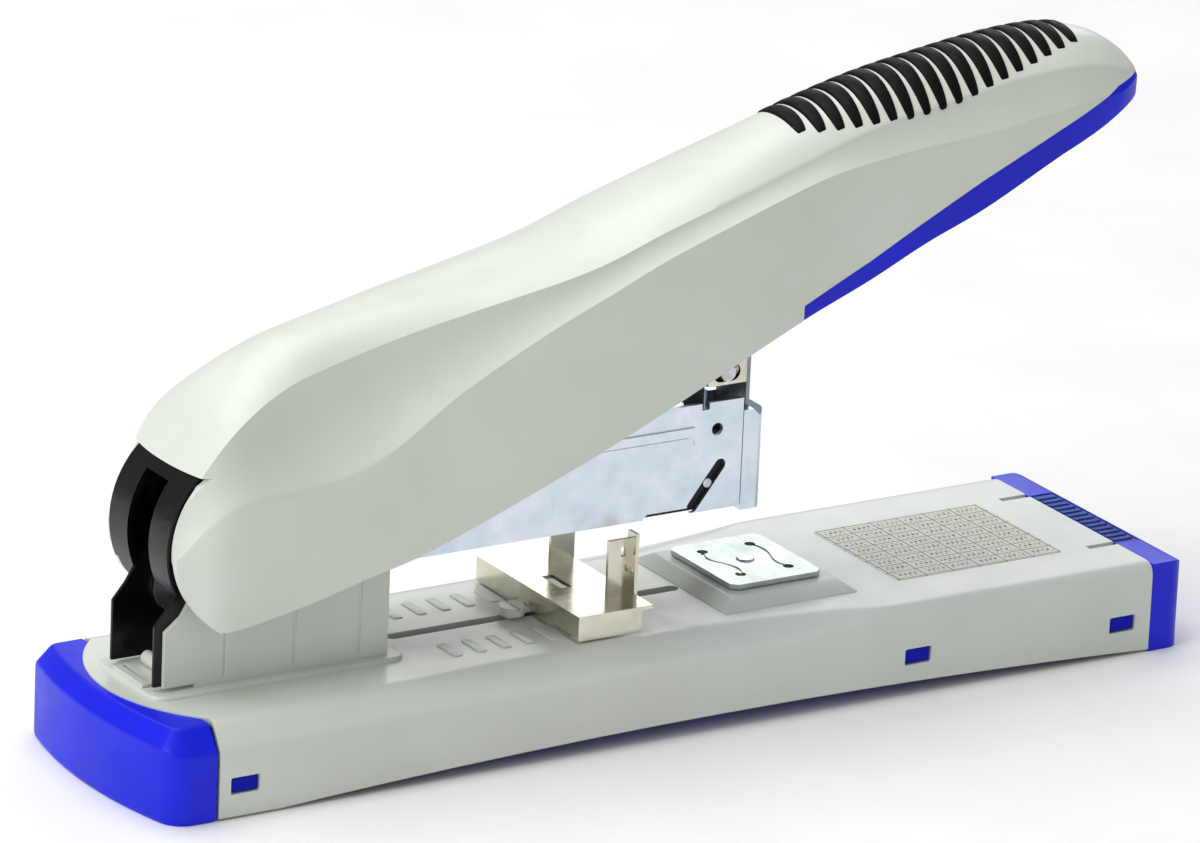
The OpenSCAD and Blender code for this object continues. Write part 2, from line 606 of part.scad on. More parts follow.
// a coil swept as one skin, with straight legs where they are asked for
module swept_coil(r, wire, pitch, turns, seg, m, leg_a = 0, leg_b = 0) {
  n = turns * seg;
  a_lead = leg_a > 0 ? 1 : 0;
  b_lead = leg_b > 0 ? 1 : 0;
  rings = [for (i = [-a_lead : n + b_lead])
    let (t = min(max(i, 0), n), push = i < 0 ? -leg_a : i > n ? leg_b : 0)
    [for (j = [0 : m - 1])
      let (a = 360 * t / seg, b = 360 * j / m, q = r + wire / 2 * cos(b))
      [q * cos(a), q * sin(a) + push, pitch * t / seg + wire / 2 * sin(b)]]];
  last = len(rings) - 1;
  polyhedron(points = [for (g = rings) for (p = g) p], faces = concat([[for (j = [0 : m - 1]) j]],
    [for (i = [0 : last - 1]) for (j = [0 : m - 1])
      [i * m + j, (i + 1) * m + j, (i + 1) * m + (j + 1) % m]],
    [for (i = [0 : last - 1]) for (j = [0 : m - 1])
      [i * m + j, (i + 1) * m + (j + 1) % m, i * m + (j + 1) % m]],
    [[for (j = [m - 1 : -1 : 0]) last * m + j]]));
}
module pusher_spring() {
  l = push_x - 9.4 - (rail_x0 + 0.4);
  color([0.75, 0.75, 0.78]) translate([rail_x0 + 0.4, 0, rod_z]) rotate([0, 90, 0])
    swept_coil(2.3, 0.6, l / 16, 16, 10, 5);
}
module magazine_rivets() {
  color([0.8, 0.8, 0.82]) {
    rod_y(driver_x - 34, mag_z + 23.1, 2, mag_w);
    rod_y(rail_x0 - 2, mag_z + 3, 2, mag_w);
    for (s = [-1, 1]) translate([0, s * (mw + 0.2), 0]) rod_y(driver_x - 34, mag_z + 23.1, 3.2, 0.4);
  }
}
module nose_slot_pin() {
  color([0.8, 0.8, 0.82]) for (s = [-1, 1]) translate([0, s * (mw - mag_t / 2 - 0.1), 0])
    rod_y(driver_x - 11.6, mag_z + 6.8, 2.3, mag_t);
}
module staple_strip() {
  xb = driver_x - blade_t / 2 - 0.4;
  cw = crown_w / 2;
  color([0.78, 0.8, 0.82]) difference() {
    block(xb - strip_l, xb, -cw, cw, mag_z + 1.4, crown_top);
    block(xb - strip_l - 1, xb + 1, -cw + 0.7, cw - 0.7, mag_z, crown_top - 0.65);
    for (x = [xb - strip_l + 1.3 : 2.6 : xb - 0.5])
      translate([x, -10, crown_top - 0.12]) cube([0.16, 20, 1]);
  }
}

// ---------- driver ----------
module driver_blade() {
  color([0.35, 0.36, 0.38]) difference() {
    block(driver_x - blade_t / 2, driver_x + blade_t / 2, -crown_w / 2 + 0.1, crown_w / 2 - 0.1,
      crown_top + 0.35, pin_z + 4);
    for (s = [-1, 1]) translate([driver_x + 2, s * 3.4, pin_z + 2]) rotate([0, -90, 0])
      cylinder(d = 2.1, h = 5, $fn = fine);
  }
}
slide_low = pin_z - 3;
module driver_carrier() {
  cw = crown_w / 2 - 0.1;
  xb = driver_x - blade_t / 2;
  color([0.85, 0.76, 0.5]) difference() {
    union() {
      for (s = [-1, 1]) block(driver_x - 11, xb, s > 0 ? cw - 1 : -cw, s > 0 ? cw : -cw + 1,
        slide_low, pin_z + 4);
      block(xb - 1.3, xb, -cw, cw, slide_low, pin_z + 4);
    }
    side_cut(60) {
      for (dx = [-1.5, 1.5]) translate([pin_x + dx, pin_z]) circle(d = drive_pin_d + 0.4, $fn = fine);
      translate([pin_x - 1.5, pin_z - drive_pin_d / 2 - 0.2]) square([3, drive_pin_d + 0.4]);
    }
    for (s = [-1, 1]) translate([driver_x, s * 3.4, pin_z + 2]) rotate([0, -90, 0])
      cylinder(d = 2.1, h = 5, $fn = fine);
  }
}
module carrier_rivets() {
  color([0.8, 0.8, 0.8]) for (s = [-1, 1]) translate([driver_x + blade_t / 2, s * 3.4, pin_z + 2])
    rotate([0, -90, 0]) cylinder(d = 2, h = blade_t + 1.6, $fn = fine);
}
// ---------- handle ----------
// smooth curve through listed points
function slope(t, i) = i <= 0 ? (t[1][1] - t[0][1]) / (t[1][0] - t[0][0]) :
  i >= len(t) - 1 ? (t[i][1] - t[i - 1][1]) / (t[i][0] - t[i - 1][0]) :
  (t[i + 1][1] - t[i - 1][1]) / (t[i + 1][0] - t[i - 1][0]);
function curve(t, x, i = 0) = x <= t[0][0] ? t[0][1] : i >= len(t) - 1 ? t[len(t) - 1][1] :
  x > t[i + 1][0] ? curve(t, x, i + 1) :
  let (h = t[i + 1][0] - t[i][0], u = (x - t[i][0]) / h)
  t[i][1] * (2 * u * u * u - 3 * u * u + 1) + h * slope(t, i) * (u * u * u - 2 * u * u + u)
    + t[i + 1][1] * (3 * u * u - 2 * u * u * u) + h * slope(t, i + 1) * (u * u * u - u * u);
// all handle tables are measured from the pivot: x forwards, height up
top_tab = [[-28, 3], [-22, 9], [-18, 17], [-14.5, 23.5], [-10, 29.5], [-4, 34.8], [4, 39.8], [13, 43.4],
  [39, 48.9], [70, 54], [86, 57.9], [102, 64], [134, 75.3], [150, 80.6], [166, 84.9], [183, 88],
  [199, 90.3], [212, 91.2], [220, 90.8], [228, 88.9], [233.6, 86], [237.5, 82.5], [240.4, 76]];
low_tab = [[-28, -18], [-18, -16.6], [-12, -18.4], [6.5, -15.6], [24, -11.3], [41, -7], [82, 8.6],
  [105.6, 18.8], [124, 27], [141, 34], [159, 40.6], [174.8, 47.6], [190.6, 53.8], [211.4, 63.9],
  [224, 69.2], [233, 73.2], [240.4, 75]];
half_tab = [[-28, 13.4], [-20, 17], [-12, 20.1], [0, 20.4], [115, 20.2], [160, 17.4], [215, 16.6],
  [228, 14.8], [234, 12.4], [238, 8.6], [240.4, 3]];
// height of the shoulder and of the lower edge of the side scoop below the top line
shoulder_tab = [[-28, 2], [-5, 5], [15, 6.4], [41, 5.2], [68, 4], [100, 4.6], [150, 7.2], [230, 6],
  [240.4, 0.4]];
scoop_tab = [[-28, 5], [-14, 16], [8, 29], [26, 30], [49, 20], [74, 12], [96, 9.6], [140, 11], [170, 15],
  [200, 17], [228, 12], [240.4, 0.8]];
dent_tab = [[-28, 0], [-8, 0.4], [20, 1.5], [60, 1.2], [100, 0.6], [140, 0.2], [240, 0]];
hs_x = [-28, -25, -22, -19.5, -17, -14.5, -12, -9, -5, 0, 6, 13, 22, 32, 43, 55, 68, 80, 92, 104, 117,
  130, 143, 156, 169, 182, 195, 206, 215, 222, 228, 233, 236.5, 239, 240.4];
function half_at(x) = curve(half_tab, x) * (x < 120 ? handle_w / 40.8 :
  x > 160 ? grip_w / 34 : handle_w / 40.8 + (grip_w / 34 - handle_w / 40.8) * (x - 120) / 40);
function side_pts(x, q, floor_z) = let (t = curve(top_tab, x), w = max(half_at(x) - q, 0.6),
  ys = 0.86 * w, c = curve(shoulder_tab, x), d = curve(scoop_tab, x), b = floor_z)
  concat([for (k = [0 : 4]) [ys * k / 4, t - q - c * pow(k / 4, 2.2)]],
    [[(ys + w) / 2 - curve(dent_tab, x), t - q - (c + d) / 2], [w, t - q - d],
    [w, max(b + 0.5, t - q - d - 6)], [w - 0.2, b]]);
function ring(x, q, b) = let (p = side_pts(x, q, b), n = len(p))
  concat([for (i = [n - 1 : -1 : 1]) [px + x, -p[i][0], hz + p[i][1]]],
    [for (i = [0 : n - 1]) [px + x, p[i][0], hz + p[i][1]]]);
// solid through the rings; q insets the skin and drop sets how far the bottom moves
module handle_loft(q, drop, xs) {
  m = 17;
  n = len(xs);
  pts = [for (x = xs) for (p = ring(x, q, curve(low_tab, x) - drop)) p];
  polyhedron(points = pts, faces = concat([[for (j = [m - 1 : -1 : 0]) j]],
    [for (i = [0 : n - 2]) for (j = [0 : m - 1])
      [i * m + j, i * m + (j + 1) % m, (i + 1) * m + (j + 1) % m]],
    [for (i = [0 : n - 2]) for (j = [0 : m - 1])
      [i * m + j, (i + 1) * m + (j + 1) % m, (i + 1) * m + j]],
    [[for (j = [0 : m - 1]) (n - 1) * m + j]]));
}
inner_x = concat([for (x = hs_x) if (x < 238) x - (x < -20 ? 3 : 0)]);
split_line = [[140.6, 37.4], [159, 45.4], [174.4, 53.2], [190, 61], [211, 70.5], [229, 78.4], [244, 81.6]];
function at_pivot(l) = [for (p = l) p + [px, hz]];
rear_r = 24.6;
module rear_cut() {
  // the open back follows an arc about the pivot
  side_cut(90) difference() {
    translate([px - 60, hz - 40]) square([58, 57.4]);
    circle_at(px, hz, rear_r);
  }
  // mouth between the rear corners, below the lip
  block(px - 60, px - 6, -lever_i - lever_t - 0.4, lever_i + lever_t + 0.4, hz - 40, hz + 17.4);
}
module circle_at(x, z, r) {
  translate([x, z]) circle(r = r, $fn = fine * 2);
}
boss_at = [[px + 52, hz + 26.5, 19], [px + 150, hz + 57, 17]];
boss_in = lever_i + lever_t + 0.1;
module handle_shell() {
  color([0.88, 0.88, 0.84]) difference() {
    union() {
      difference() {
        handle_loft(0, 0, hs_x);
        handle_loft(handle_t, 12, inner_x);
      }
      for (b = boss_at) for (s = [-1, 1]) translate([0, s * (b[2] + boss_in) / 2, 0])
        rod_y(b[0], b[1], 7, b[2] - boss_in);
    }
    for (b = boss_at) rod_y(b[0], b[1], 2.7, 35);
    side_cut(80) polygon(concat(at_pivot(split_line), at_pivot([[260, -20], [140.6, -20]])));
    rear_cut();
    rib_slabs(0.03);
  }
}
module under_grip() {
  g = 0.1;
  color([0.1, 0.2, 0.85]) difference() {
    intersection() {
      handle_loft(0.1, 0, [for (x = hs_x) if (x > 125) x]);
      side_cut(80) polygon(concat([for (p = at_pivot(split_line)) p - [0, g]],
        at_pivot([[260, 0], [140.6 + g, 0]])));
    }
    handle_loft(2, -2.2, [for (x = hs_x) if (x > 150 && x < 236) x]);
  }
}
rib_pitch = 4.45;
module rib_slabs(g) {
  for (i = [0 : rib_n - 1]) {
    x = 143.8 + i * rib_pitch;
    t = (i + 0.5) / rib_n;
    yh = 6.5 + 7.5 * pow(sin(180 * pow(t, 0.85)), 0.6);
    w = half_at(x);
    ys = 0.86 * w;
    c = curve(shoulder_tab, x);
    tilt = atan((curve(top_tab, x + 1) - curve(top_tab, x - 1)) / 2);
    pr = [for (k = [-5 : 5]) [k * yh / 5, -c * pow(abs(k * yh / 5 / ys), 2.2)]];
    translate([px + x, 0, hz + curve(top_tab, x)]) rotate([0, -tilt, 0]) translate([-1.4 - g, 0, 0])
      rotate([90, 0, 90]) linear_extrude(2.8 + 2 * g) polygon(concat([for (p = pr) p + [0, rib_h]],
        [for (k = [10 : -1 : 0]) pr[k] - [0, 0.6 + g]]));
  }
}
module grip_ribs() {
  color([0.07, 0.07, 0.07]) rib_slabs(0);
}
back_r = 23.2;
back_slot = 10;
back_low = 203;
back_high = 120;
module lever_frame() {
  top = [[px + 24, hz + 27], [px + 70, hz + 37], [px + 118, hz + 52], [px + 168, hz + 68]];
  low = [[px + 172, hz + 61], [px + 140, hz + 46], [px + 116, hz + 33], [px + 82, hz + 16],
    [px + 41, hz - 1], [px + 18, hz - 8]];
  color([0.06, 0.06, 0.06]) difference() {
    union() {
      for (s = [-1, 1]) translate([0, s * (lever_i + lever_t / 2), 0]) side_cut(lever_t)
        polygon(concat(top, low, [[px + 8, hz - 13], [px - 14, hz - 13]],
          arc(px, hz, back_r, back_low, back_high, 16)));
      // cross web over the magazine and the curved back plate
      side_cut(2 * lever_i + 0.2) polygon([top[0], top[1], top[2], top[2] - [0, 1.4],
        top[1] - [0, 1.4], top[0] - [0, 1.4]]);
      side_cut(2 * lever_i + 0.2) polygon(concat(arc(px, hz, back_r, back_low, back_high, 12),
        arc(px, hz, back_r - 1.4, back_high, back_low, 12)));
      side_cut(2 * lever_i + 0.2) polygon([[px - 11.6, hz + 20], [px + 24, hz + 27],
        [px + 24, hz + 25.5], [px - 10.9, hz + 18.8]]);
    }
    // slot down the back plate, over the torsion spring
    block(px - back_r - 5, px - 12, -back_slot / 2, back_slot / 2, hz - back_r, hz + 14);
    rod_y(px, hz, handle_pin_d + 2 * run, 60);
    for (b = boss_at) rod_y(b[0], b[1], 2.7, 60);
  }
}
arm_y = 5.1;
module drive_tongue() {
  color([0.06, 0.06, 0.06]) difference() {
    union() {
      for (s = [-1, 1]) translate([0, s * (arm_y - 0.8), 0]) side_cut(1.6)
        polygon(concat(arc(pin_x, pin_z, 3, 190, 350, 10),
          [[pin_x + 3, pin_z + 8], [pin_x + 4, hz + 52.4], [pin_x - 12, hz + 48.2],
          [pin_x - 5, pin_z + 10]]));
      side_cut(2 * lever_i) polygon([[pin_x - 12, hz + 48.2], [pin_x - 12, hz + 46.8],
        [pin_x + 4, hz + 51], [pin_x + 4, hz + 52.4]]);
    }
    rod_y(pin_x, pin_z, drive_pin_d + 0.1, 60);
  }
}
module drive_pin() {
  color([0.8, 0.8, 0.82]) rod_y(pin_x, pin_z, drive_pin_d, 2 * (mw - mag_t - 0.7));
}
module handle_bushings() {
  color([0.75, 0.72, 0.6]) for (s = [-1, 1]) translate([0, s * (lever_i + lever_t + 0.4), 0]) difference() {
    rod_y(px, hz, 11, 0.8);
    rod_y(px, hz, handle_pin_d + 2 * run, 4);
  }
}
module handle_screws() {
  color([0.7, 0.7, 0.72]) for (b = boss_at) for (s = [-1, 1]) {
    translate([0, s * 13.9, 0]) rod_y(b[0], b[1], 2.6, 5);
    translate([0, s * (lever_i - 0.7), 0]) rod_y(b[0], b[1], 5, 1.4);
  }
}
module torsion_spring() {
  // the coil hangs between the walls of the magazine cover
  spring_side = 1.1;
  ys = mw - mag_t - spring_side;
  r = 4.6;
  color([0.72, 0.72, 0.75]) translate([px, ys, hz]) rotate([90, 0, 0])
    swept_coil(r, 1.2, ys / 4, 8, 16, 6, hz - bracket_z - 1.6, 18);
}
module lift_spring() {
  color([0.72, 0.72, 0.75]) translate([px + 22, 0, bracket_z + 0.5])
    swept_coil(3.8, 1, (mag_z - 2 - bracket_z - 1.1) / 6, 6, 14, 6);
}

base_shell();
base_tray();
hinge_end_bumper();
paper_end_cap();
cap_grip_strip();
rubber_feet();
tray_screws();
anvil_pad();
rating_label();
hinge_bracket();
inner_hinge_frame();
bracket_rivets();
arm_hinge_pin();
handle_hinge_pin();
bracket_tab();
lift_spring();
anvil_plate();
anvil_pivot();
paper_stop_plate();
paper_stop_lock();
magazine_cover();
nose_plate();
inner_channel();
staple_rail();
top_guard();
rail_end_block();
guide_rod();
pusher_spring();
magazine_rivets();
nose_slot_pin();
staple_strip();
staple_pusher();
driver_blade();
driver_carrier();
carrier_rivets();
handle_shell();
lever_frame();
under_grip();
grip_ribs();
drive_tongue();
drive_pin();
handle_bushings();
handle_screws();
torsion_spring();
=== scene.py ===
import json
import math

import bmesh
import bpy
from mathutils import Matrix, Vector


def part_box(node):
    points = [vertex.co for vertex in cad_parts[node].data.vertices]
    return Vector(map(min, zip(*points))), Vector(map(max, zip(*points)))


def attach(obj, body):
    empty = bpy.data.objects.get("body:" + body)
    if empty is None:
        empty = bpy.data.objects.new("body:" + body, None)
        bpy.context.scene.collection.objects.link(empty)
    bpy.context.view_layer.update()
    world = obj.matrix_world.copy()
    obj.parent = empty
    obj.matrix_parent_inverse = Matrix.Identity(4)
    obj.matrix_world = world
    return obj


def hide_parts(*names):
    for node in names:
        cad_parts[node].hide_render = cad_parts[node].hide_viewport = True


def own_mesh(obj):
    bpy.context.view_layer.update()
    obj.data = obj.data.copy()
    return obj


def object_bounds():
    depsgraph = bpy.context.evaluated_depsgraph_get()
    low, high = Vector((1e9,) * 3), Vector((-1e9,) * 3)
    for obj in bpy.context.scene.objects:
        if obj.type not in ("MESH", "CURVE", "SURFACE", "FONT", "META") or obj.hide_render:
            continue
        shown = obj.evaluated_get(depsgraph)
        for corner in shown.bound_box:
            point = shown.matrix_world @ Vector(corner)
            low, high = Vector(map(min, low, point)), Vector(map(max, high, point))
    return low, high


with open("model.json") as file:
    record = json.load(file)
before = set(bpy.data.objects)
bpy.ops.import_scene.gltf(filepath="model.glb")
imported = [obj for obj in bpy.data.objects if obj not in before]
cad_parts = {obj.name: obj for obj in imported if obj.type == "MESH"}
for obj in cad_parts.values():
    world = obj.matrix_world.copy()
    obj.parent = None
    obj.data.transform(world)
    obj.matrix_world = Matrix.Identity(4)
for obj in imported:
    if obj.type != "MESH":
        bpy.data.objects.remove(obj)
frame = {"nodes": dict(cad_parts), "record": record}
cad_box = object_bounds()
MM = 0.001
# how a shape that stands along z is turned to lie along an axis
TURNS = {"X": (0, math.pi / 2, 0), "Y": (math.pi / 2, 0, 0), "Z": (0, 0, 0)}


# ---------------------------------------------------------------- workshop

def put_down():
    """Leaves edit mode with nothing selected."""
    if bpy.context.mode != "OBJECT":
        bpy.ops.object.mode_set(mode="OBJECT")
    bpy.ops.object.select_all(action="DESELECT")


def take(*pieces):
    put_down()
    for piece in pieces:
        piece.select_set(True)
    bpy.context.view_layer.objects.active = pieces[0]


def open_mesh(piece):
    take(piece)
    bpy.ops.object.mode_set(mode="EDIT")
    bpy.ops.mesh.select_all(action="DESELECT")


def named(name):
    """Names the new primitive and settles its place into its mesh."""
    piece = bpy.context.view_layer.objects.active
    piece.name = name
    piece.data.name = name
    bpy.ops.object.transform_apply(location=True, rotation=True, scale=True)
    return piece


def block(name, low, high):
    put_down()
    size = [(b - a) * MM for a, b in zip(low, high)]
    middle = [(a + b) / 2 * MM for a, b in zip(low, high)]
    bpy.ops.mesh.primitive_cube_add(size=1, location=middle)
    bpy.context.object.scale = size
    return named(name)


def rod(name, middle, radius, length, axis="Y", sides=64, tip=None):
    put_down()
    place = [v * MM for v in middle]
    bpy.ops.mesh.primitive_cone_add(vertices=sides, radius1=radius * MM,
                                    radius2=(radius if tip is None else tip) * MM,
                                    depth=length * MM, location=place, rotation=TURNS[axis])
    return named(name)


def pick(piece, kind, test):
    """Selects faces or edges whose middle, in mm, and direction pass the test."""
    bpy.ops.mesh.select_mode(type={"face": "FACE", "edge": "EDGE"}[kind])
    mesh = bmesh.from_edit_mesh(piece.data)
    for part in mesh.faces if kind == "face" else mesh.edges:
        if kind == "face":
            middle, way = part.calc_center_median(), part.normal
        else:
            middle = (part.verts[0].co + part.verts[1].co) / 2
            way = (part.verts[1].co - part.verts[0].co).normalized()
        part.select_set(bool(test(middle / MM, way)))
    mesh.select_flush_mode()
    bmesh.update_edit_mesh(piece.data)


def round_edges(piece, test, width, segments):
    """Rounds only the edges whose middle and direction pass the test."""
    open_mesh(piece)
    pick(piece, "edge", test)
    bpy.ops.mesh.bevel(offset=width * MM, segments=segments, affect="EDGES")
    put_down()


def round_block(name, low, high, along, corner, segments):
    """A block whose four edges along one axis are rounded."""
    piece = block(name, low, high)
    round_edges(piece, lambda m, w: abs(getattr(w, along)) > 0.9, corner, segments)
    return piece


def modify(piece, kind, **settings):
    take(piece)
    step = piece.modifiers.new(kind.title(), kind)
    for key, value in settings.items():
        setattr(step, key, value)
    bpy.ops.object.modifier_apply(modifier=step.name)


def cut(piece, *tools):
    for tool in tools:
        modify(piece, "BOOLEAN", operation="DIFFERENCE", solver="EXACT", object=tool)
        bpy.data.objects.remove(tool)


def keep(piece, tool):
    modify(piece, "BOOLEAN", operation="INTERSECT", solver="EXACT", object=tool)
    bpy.data.objects.remove(tool)


def join(piece, *others):
    take(piece, *others)
    bpy.ops.object.join()
    return piece


def face_out(piece):
    open_mesh(piece)
    bpy.ops.mesh.select_all(action="SELECT")
    bpy.ops.mesh.remove_doubles(threshold=1e-6)
    bpy.ops.mesh.normals_make_consistent(inside=False)
    put_down()


def soften(piece, width, segments, angle=32):
    """Rounds the sharp edges and smooths the rest."""
    modify(piece, "BEVEL", width=width * MM, segments=segments, limit_method="ANGLE",
           angle_limit=math.radians(angle), use_clamp_overlap=True, miter_outer="MITER_ARC")
    smooth(piece, angle)
    modify(piece, "WEIGHTED_NORMAL", keep_sharp=True)


def smooth(piece, angle=32):
    take(piece)
    bpy.ops.object.shade_smooth_by_angle(angle=math.radians(angle))


def extruded(name, outline, way):
    """A flat face through the points of an outline, extruded by way, all in mm."""
    put_down()
    bpy.ops.mesh.primitive_circle_add(vertices=len(outline), radius=MM, fill_type="NGON")
    piece = named(name)
    for vertex, point in zip(piece.data.vertices, outline):
        vertex.co = [v * MM for v in point]
    open_mesh(piece)
    bpy.ops.mesh.select_all(action="SELECT")
    bpy.ops.mesh.extrude_region_move(TRANSFORM_OT_translate={"value": [v * MM for v in way]})
    face_out(piece)
    return piece


def plate(name, outline, y_low, y_high):
    """A blank cut to an outline in x and z, in mm, and extruded across y."""
    return extruded(name, [(x, y_low, z) for x, z in outline], (0, y_high - y_low, 0))


def floor_plan(name, outline, z_low, z_high):
    """A blank cut to an outline in x and y, in mm, and extruded upwards."""
    return extruded(name, [(x, y, z_low) for x, y in outline], (0, 0, z_high - z_low))


def loft(name, rings):
    """A closed skin through rings of points, in mm: a grid laid on the rings and capped."""
    put_down()
    around = len(rings[0])
    bpy.ops.mesh.primitive_grid_add(x_subdivisions=around, y_subdivisions=len(rings) - 1, size=MM)
    piece = named(name)
    points = [p for ring in rings for p in ring + ring[:1]]
    for vertex, point in zip(piece.data.vertices, points, strict=True):
        vertex.co = [v * MM for v in point]
    open_mesh(piece)
    bpy.ops.mesh.select_all(action="SELECT")
    bpy.ops.mesh.remove_doubles(threshold=1e-7)
    bpy.ops.mesh.fill_holes(sides=0)
    face_out(piece)
    return piece


def arc(x, z, radius, start, stop, steps):
    turns = [math.radians(start + (stop - start) * i / steps) for i in range(steps + 1)]
    return [(x + radius * math.cos(t), z + radius * math.sin(t)) for t in turns]


def span(start, stop, count):
    return [start + (stop - start) * i / (count - 1) for i in range(count)]


def curve(table, x):
    """A smooth line through listed (place, value) points."""
    if x <= table[0][0]:
        return table[0][1]
    if x >= table[-1][0]:
        return table[-1][1]

    def slope(k):
        a, b = table[max(k - 1, 0)], table[min(k + 1, len(table) - 1)]
        return (b[1] - a[1]) / (b[0] - a[0])

    i = next(k for k in range(len(table) - 1) if x <= table[k + 1][0])
    step = table[i + 1][0] - table[i][0]
    u = (x - table[i][0]) / step
    return (table[i][1] * (2 * u**3 - 3 * u**2 + 1) + step * slope(i) * (u**3 - 2 * u**2 + u)
            + table[i + 1][1] * (3 * u**2 - 2 * u**3) + step * slope(i + 1) * (u**3 - u**2))


def box_mm(node):
    low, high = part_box(node)
    return low / MM, high / MM


def refined(node, width, segments):
    """A copy of a frame node with its triangles merged and its edges rounded."""
    put_down()
    mesh = frame["nodes"][node].data.copy()
    piece = bpy.data.objects.new(node + "_finished", mesh)
    bpy.context.scene.collection.objects.link(piece)
    mesh.materials.clear()
    take(piece)
    bpy.ops.mesh.customdata_custom_splitnormals_clear()
    open_mesh(piece)
    bpy.ops.mesh.select_all(action="SELECT")
    bpy.ops.mesh.remove_doubles(threshold=2e-6)
    bpy.ops.mesh.dissolve_limited(angle_limit=math.radians(0.5))
    put_down()
    soften(piece, width, segments)
    return piece


def mount(piece, body, slot, finish, *nodes):
    """Gives a piece its finish, its body and the frame nodes it stands for."""
    piece.data.materials.clear()
    piece.data.materials.append(finish)
    for face in piece.data.polygons:
        face.material_index = 0
    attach(piece, body)
    if nodes:
        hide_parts(*nodes)
    return piece


# ---------------------------------------------------------------- materials

def linear(hexcode):
    """sRGB hex to the linear colour that a shader takes."""
    values = [int(hexcode[i:i + 2], 16) / 255 for i in (1, 3, 5)]
    return [v / 12.92 if v <= 0.04045 else ((v + 0.055) / 1.055) ** 2.4 for v in values] + [1.0]


def add(tree, kind, settings=None, inputs=None, links=None):
    """One node with its settings, socket values and incoming links."""
    made = tree.nodes.new("ShaderNode" + kind)
    for key, value in (settings or {}).items():
        setattr(made, key, value)
    for key, value in (inputs or {}).items():
        made.inputs[key].default_value = value
    for key, source in (links or {}).items():
        tree.links.new(source, made.inputs[key])
    return made


def ramp(tree, source, *stops):
    """A colour ramp through (place, colour) stops."""
    made = add(tree, "ValToRGB", links={"Fac": source})
    points = made.color_ramp.elements
    while len(points) < len(stops):
        points.new(0.5)
    for point, (place, colour) in zip(points, stops):
        point.position = place
        point.color = colour if isinstance(colour, (list, tuple)) else [colour] * 3 + [1]
    return made.outputs["Color"]


def start(name, **shader):
    """An empty finish: its node tree, its shader and the object's own coordinates."""
    finish = bpy.data.materials.new(name)
    finish.use_nodes = True
    tree = finish.node_tree
    tree.nodes.clear()
    surface = add(tree, "BsdfPrincipled", inputs=shader)
    add(tree, "OutputMaterial", links={"Surface": surface.outputs["BSDF"]})
    place = add(tree, "TexCoord").outputs["Object"]
    return finish, tree, surface, place


def grain(tree, place, size_mm, stretch=(1, 1, 1), detail=3.0):
    """Noise whose grains are size_mm across, drawn out along an axis by stretch."""
    laid = add(tree, "Mapping", inputs={"Scale": [1 / s for s in stretch]}, links={"Vector": place})
    made = add(tree, "TexNoise",
               inputs={"Scale": 1 / (size_mm * MM), "Detail": detail, "Roughness": 0.55},
               links={"Vector": laid.outputs["Vector"]})
    return made.outputs["Fac"]


def relief(tree, surface, *layers):
    """Stacks bumps, each a (height source, depth in mm, strength)."""
    last = None
    for source, depth, strength in layers:
        links = {"Height": source}
        if last:
            links["Normal"] = last
        last = add(tree, "Bump", inputs={"Distance": depth * MM, "Strength": strength},
                   links=links).outputs["Normal"]
    tree.links.new(last, surface.inputs["Normal"])


def spread(tree, source, low, high):
    """Maps a noise's middle range onto low to high."""
    made = add(tree, "MapRange", inputs={"From Min": 0.3, "From Max": 0.7, "To Min": low,
                                         "To Max": high}, links={"Value": source})
    return made.outputs["Result"]


def moulded_abs(name, light, dark, roughness, coat=0.1, shine=0.5):
    """Moulded ABS: a fine spark-eroded grain, a faint flow mottle and soft gloss changes."""
    finish, tree, surface, place = start(name, IOR=1.54)
    surface.inputs["Specular IOR Level"].default_value = shine
    surface.inputs["Coat Weight"].default_value = coat
    surface.inputs["Coat Roughness"].default_value = 0.25
    mottle = grain(tree, place, 26, detail=2)
    tree.links.new(ramp(tree, mottle, (0.3, linear(dark)), (0.7, linear(light))),
                   surface.inputs["Base Color"])
    handled = grain(tree, place, 9, detail=4)
    tree.links.new(spread(tree, handled, roughness - 0.05, roughness + 0.07),
                   surface.inputs["Roughness"])
    # real spark grain is about 0.1 mm; 0.4 mm is the finest that shows
    relief(tree, surface, (grain(tree, place, 14, detail=1), 0.05, 0.25),
           (grain(tree, place, 0.4, detail=2), 0.012, 0.5))
    return finish


def stove_enamel(name, light, dark, roughness):
    """Stoved enamel on pressed steel: orange peel, small gloss changes and a few dust nibs."""
    finish, tree, surface, place = start(name, IOR=1.5)
    surface.inputs["Coat Weight"].default_value = 0.25
    surface.inputs["Coat Roughness"].default_value = 0.2
    cloud = grain(tree, place, 32, detail=2)
    tree.links.new(ramp(tree, cloud, (0.3, linear(dark)), (0.7, linear(light))),
                   surface.inputs["Base Color"])
    tree.links.new(spread(tree, grain(tree, place, 7, detail=4), roughness - 0.05, roughness + 0.06),
                   surface.inputs["Roughness"])
    nibs = add(tree, "TexVoronoi", inputs={"Scale": 1 / (3.2 * MM), "Randomness": 1.0},
               links={"Vector": place}).outputs["Distance"]
    nib = ramp(tree, nibs, (0.0, 1.0), (0.05, 0.0))
    relief(tree, surface, (grain(tree, place, 1.3, detail=2), 0.02, 0.6), (nib, 0.02, 0.5))
    return finish


